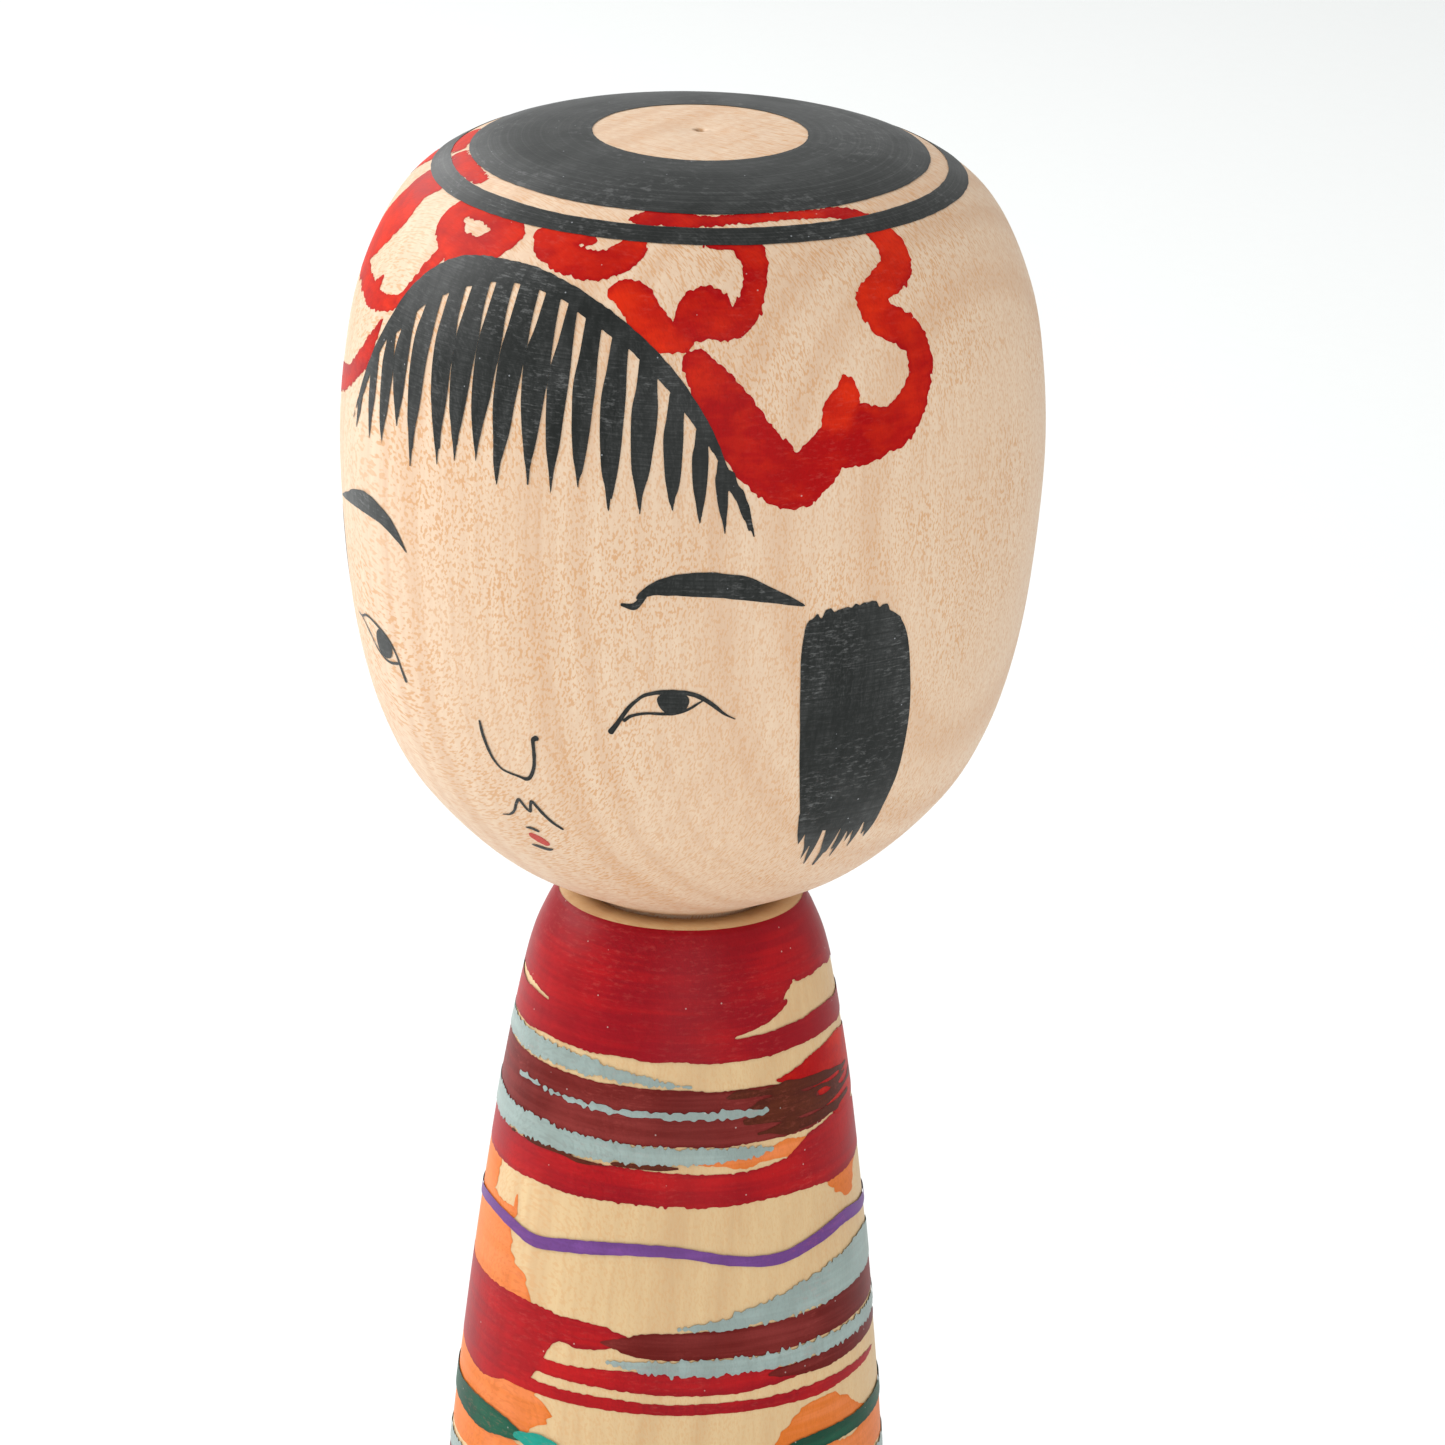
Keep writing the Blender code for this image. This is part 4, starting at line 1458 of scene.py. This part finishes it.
class KOKESHI_OT_collar(bpy.types.Operator):
    """Brushes the red collar under the rim, with its bare notch"""

    bl_idname = "kokeshi.collar"
    bl_label = "Red Collar"

    def execute(self, context):
        canvas = canvas_for(BODY_SKIN, WHOLE_TURN, COLLAR_REACH)
        canvas.band([(angle, COLLAR_LOW, COLLAR_TOP) for angle in (-120, 0, 120)], COLLAR_SHADE)
        canvas.cut(COLLAR_NOTCH, steps=3)
        slit = canvas_for(BODY_SKIN, WHOLE_TURN, COLLAR_REACH)
        slit.stroke(COLLAR_SLIT)
        canvas.depth = np.minimum(canvas.depth, np.where(slit.depth > BARE / 2, -slit.depth, -BARE))
        under_rim = canvas.along[:, None] < COLLAR_TOP - RIM_MARGIN
        canvas.roughen("collar", 81, under_rim)
        canvas.roughen("collar sway", 82, under_rim)
        paint_body("red_collar", canvas, dye("red_band_dye"), facets=0.35)
        return {"FINISHED"}


class KOKESHI_OT_red_bands(bpy.types.Operator):
    """Brushes the red bands and fields round the body"""

    bl_idname = "kokeshi.red_bands"
    bl_label = "Red Bands"

    def execute(self, context):
        paint_body("red_bands", brushed_bands(RED_BANDS, 91), dye("red_band_dye"))
        paint_body("scarlet_starts", brushed_bands(SCARLET_STARTS, 95), dye("red_dye"))
        return {"FINISHED"}


class KOKESHI_OT_orange_bands(bpy.types.Operator):
    """Brushes the orange bands and washes between the red ones"""

    bl_idname = "kokeshi.orange_bands"
    bl_label = "Orange Washes"

    def execute(self, context):
        canvas = bands_canvas(ORANGE_BANDS)
        for drop, turn in REPEATS:
            field = [(angle + turn, height - drop) for angle, height in ORANGE_FIELD]
            canvas.patch(field, 0.15, steps=1)
        canvas.roughen("wash", 101)
        canvas.roughen("wash sway", 102)
        paint_body("orange_washes", canvas, dye("orange_dye"))
        return {"FINISHED"}


class KOKESHI_OT_maroon_bands(bpy.types.Operator):
    """Brushes the maroon bands, with the umber that darkens one side of them"""

    bl_idname = "kokeshi.maroon_bands"
    bl_label = "Maroon Bands"

    def execute(self, context):
        paint_body("maroon_bands", brushed_bands(MAROON_BANDS, 111), dye("maroon_dye"))
        umber = strokes_canvas(UMBER_STROKES)
        umber.roughen("umber sway", 123)
        paint_body("umber_bands", umber, dye("umber_dye"))
        return {"FINISHED"}


class KOKESHI_OT_slate_bands(bpy.types.Operator):
    """Brushes the grey-blue bands, dry at their ends, and the broken dashes on the maroon"""

    bl_idname = "kokeshi.slate_bands"
    bl_label = "Slate Bands"

    def execute(self, context):
        canvas = brushed_bands(SLATE_BANDS, 131)
        canvas.roughen("slate", 133)
        dashes = strokes_canvas([SLATE_DASH])
        dashes.roughen("dash", 134)
        canvas.depth = np.maximum(canvas.depth, dashes.depth)
        paint_body("slate_bands", canvas, dye("slate_pigment"))
        return {"FINISHED"}


class KOKESHI_OT_violet_line(bpy.types.Operator):
    """Draws the violet wavy line through the bare wood"""

    bl_idname = "kokeshi.violet_line"
    bl_label = "Violet Line"

    def execute(self, context):
        knots = []
        for angle, height in VIOLET_LINE:
            narrowing = VIOLET_NARROWING * math.cos(math.radians(angle * 2 - 90)) ** 2
            half = VIOLET_HALF * (1.0 - narrowing)
            knots.append((angle, height - half, height + half))
        canvas = bands_canvas([(0.0, knots)])
        canvas.roughen("violet", 141)
        paint_body("violet_line", canvas, dye("violet_dye"))
        return {"FINISHED"}


class KOKESHI_OT_green_bands(bpy.types.Operator):
    """Brushes the green bands and their teal tips"""

    bl_idname = "kokeshi.green_bands"
    bl_label = "Green Bands"

    def execute(self, context):
        paint_body("green_bands", brushed_bands(GREEN_BANDS, 151), dye("green_dye"))
        teal = strokes_canvas([TEAL_TIP])
        teal.roughen("teal", 152)
        paint_body("teal_tips", teal, dye("teal_dye"))
        return {"FINISHED"}


# ---------------------------------------------------------------- stage

CAMERA_AZIMUTH = 31.3
CAMERA_ELEVATION = 19.55
CAMERA_ROLL = 1.59
SENSOR = 36.0
FLOOR_SIDES = 96
PAPER_TOOTH = 300.0
PAPER_ROUGHNESS = 0.9
# Each light: how far round from the camera and how high, in degrees, how far off and how large
LIGHTS = {
    "key": (-104, 30, 1.1, 0.8),
    "back": (-148, 24, 1.2, 0.7),
    "fill": (10, 14, 1.6, 1.2),
}
LIGHTS_AIM = 0.8  # how far up the doll the lights point, as a share of its height
ROOM_COLOUR = (0.985, 1.0, 0.995, 1)
CROWN_SEEN = (-0.0019, 0.0514, -0.65025)  # the crown from the camera: right, up and back, in metres


def soft_light(name, azimuth, elevation, distance, size, power):
    """A large square light that faces the doll."""
    lamp = bpy.data.lights.new(name, "AREA")
    lamp.size = size
    lamp.energy = power
    light = bpy.data.objects.new(name, lamp)
    bpy.context.scene.collection.objects.link(light)
    around, above = math.radians(azimuth), math.radians(elevation)
    level = math.cos(above)
    away = Vector((math.sin(around) * level, -math.cos(around) * level, math.sin(above)))
    light.location = Vector((0, 0, CROWN_Z * LIGHTS_AIM)) + away * distance
    light.rotation_euler = away.to_track_quat("Z", "Y").to_euler()
    light.visible_camera = False


class KOKESHI_OT_stage(bpy.types.Operator):
    """Sets the white floor, the soft light and the camera"""

    bl_idname = "kokeshi.stage"
    bl_label = "Studio"

    def execute(self, context):
        stage = context.scene.kokeshi_stage
        self.floor(stage)
        self.light(context.scene, stage)
        self.camera(context.scene, stage)
        return {"FINISHED"}

    def floor(self, stage):
        bpy.ops.mesh.primitive_circle_add(
            vertices=FLOOR_SIDES, radius=stage.floor_radius, fill_type="NGON"
        )
        floor = bpy.context.object
        floor.name = "floor"
        material, wire, shader = new_material("white_paper")
        place = wire.add("TexCoord").outputs["Object"]
        tooth = wire.noise(place, PAPER_TOOTH, 3.0)
        paper = tuple(channel * 0.985 for channel in stage.floor)
        wire.feed(shader.inputs["Base Color"], wire.mix(tooth, (*stage.floor, 1), (*paper, 1)))
        shader.inputs["Roughness"].default_value = PAPER_ROUGHNESS
        floor.data.materials.append(material)

    def light(self, scene, stage):
        world = bpy.data.worlds.new("white_room")
        world.use_nodes = True
        background = world.node_tree.nodes["Background"]
        background.inputs["Color"].default_value = ROOM_COLOUR
        background.inputs["Strength"].default_value = stage.sky
        scene.world = world
        for kind, (turn, elevation, distance, size) in LIGHTS.items():
            azimuth = CAMERA_AZIMUTH + turn
            soft_light(kind + "_light", azimuth, elevation, distance, size, getattr(stage, kind))

    def camera(self, scene, stage):
        camera = bpy.data.objects.new("camera", bpy.data.cameras.new("camera"))
        scene.collection.objects.link(camera)
        camera.data.lens = stage.lens
        camera.data.sensor_width = SENSOR
        turn = (
            Matrix.Rotation(math.radians(CAMERA_AZIMUTH), 4, "Z")
            @ Matrix.Rotation(math.radians(90 - CAMERA_ELEVATION), 4, "X")
            @ Matrix.Rotation(math.radians(CAMERA_ROLL), 4, "Z")
        )
        crown = Vector((0, 0, CROWN_Z))
        camera.matrix_world = Matrix.Translation(crown - turn @ Vector(CROWN_SEEN)) @ turn
        scene.camera = camera
        scene.view_settings.view_transform = "Standard"


PIECE_OPERATORS = (
    KOKESHI_OT_head, KOKESHI_OT_body, KOKESHI_OT_crown, KOKESHI_OT_ribbons, KOKESHI_OT_fringe,
    KOKESHI_OT_side_locks, KOKESHI_OT_brows, KOKESHI_OT_eyes, KOKESHI_OT_nose_and_mouth,
    KOKESHI_OT_collar, KOKESHI_OT_orange_bands, KOKESHI_OT_red_bands, KOKESHI_OT_maroon_bands,
    KOKESHI_OT_slate_bands, KOKESHI_OT_violet_line, KOKESHI_OT_green_bands, KOKESHI_OT_stage,
)


class KOKESHI_PT_panel(bpy.types.Panel):
    """Lists the doll's pieces and its settings"""

    bl_label = "Kokeshi Doll"
    bl_idname = "KOKESHI_PT_panel"
    bl_space_type = "VIEW_3D"
    bl_region_type = "UI"
    bl_category = "Kokeshi"

    def draw(self, context):
        for settings in ("kokeshi_wood", "kokeshi_paint", "kokeshi_stage"):
            group = getattr(context.scene, settings)
            box = self.layout.box()
            for label in group.__annotations__:
                box.prop(group, label)
        for operator in PIECE_OPERATORS:
            self.layout.operator(operator.bl_idname)


CLASSES = (WoodSettings, PaintSettings, StageSettings, *PIECE_OPERATORS, KOKESHI_PT_panel)


def register():
    for item in CLASSES:
        bpy.utils.register_class(item)
    bpy.types.Scene.kokeshi_wood = bpy.props.PointerProperty(type=WoodSettings)
    bpy.types.Scene.kokeshi_paint = bpy.props.PointerProperty(type=PaintSettings)
    bpy.types.Scene.kokeshi_stage = bpy.props.PointerProperty(type=StageSettings)


def unregister():
    del bpy.types.Scene.kokeshi_stage
    del bpy.types.Scene.kokeshi_paint
    del bpy.types.Scene.kokeshi_wood
    for item in reversed(CLASSES):
        bpy.utils.unregister_class(item)


def main():
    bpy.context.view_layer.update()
    register()
    bpy.ops.kokeshi.head()
    bpy.ops.kokeshi.body()
    bpy.ops.kokeshi.crown()
    bpy.ops.kokeshi.ribbons()
    bpy.ops.kokeshi.fringe()
    bpy.ops.kokeshi.side_locks()
    bpy.ops.kokeshi.brows()
    bpy.ops.kokeshi.eyes()
    bpy.ops.kokeshi.nose_and_mouth()
    bpy.ops.kokeshi.collar()
    bpy.ops.kokeshi.orange_bands()
    bpy.ops.kokeshi.red_bands()
    bpy.ops.kokeshi.maroon_bands()
    bpy.ops.kokeshi.slate_bands()
    bpy.ops.kokeshi.violet_line()
    bpy.ops.kokeshi.green_bands()
    bpy.ops.kokeshi.stage()


if __name__ == "__main__":
    main()
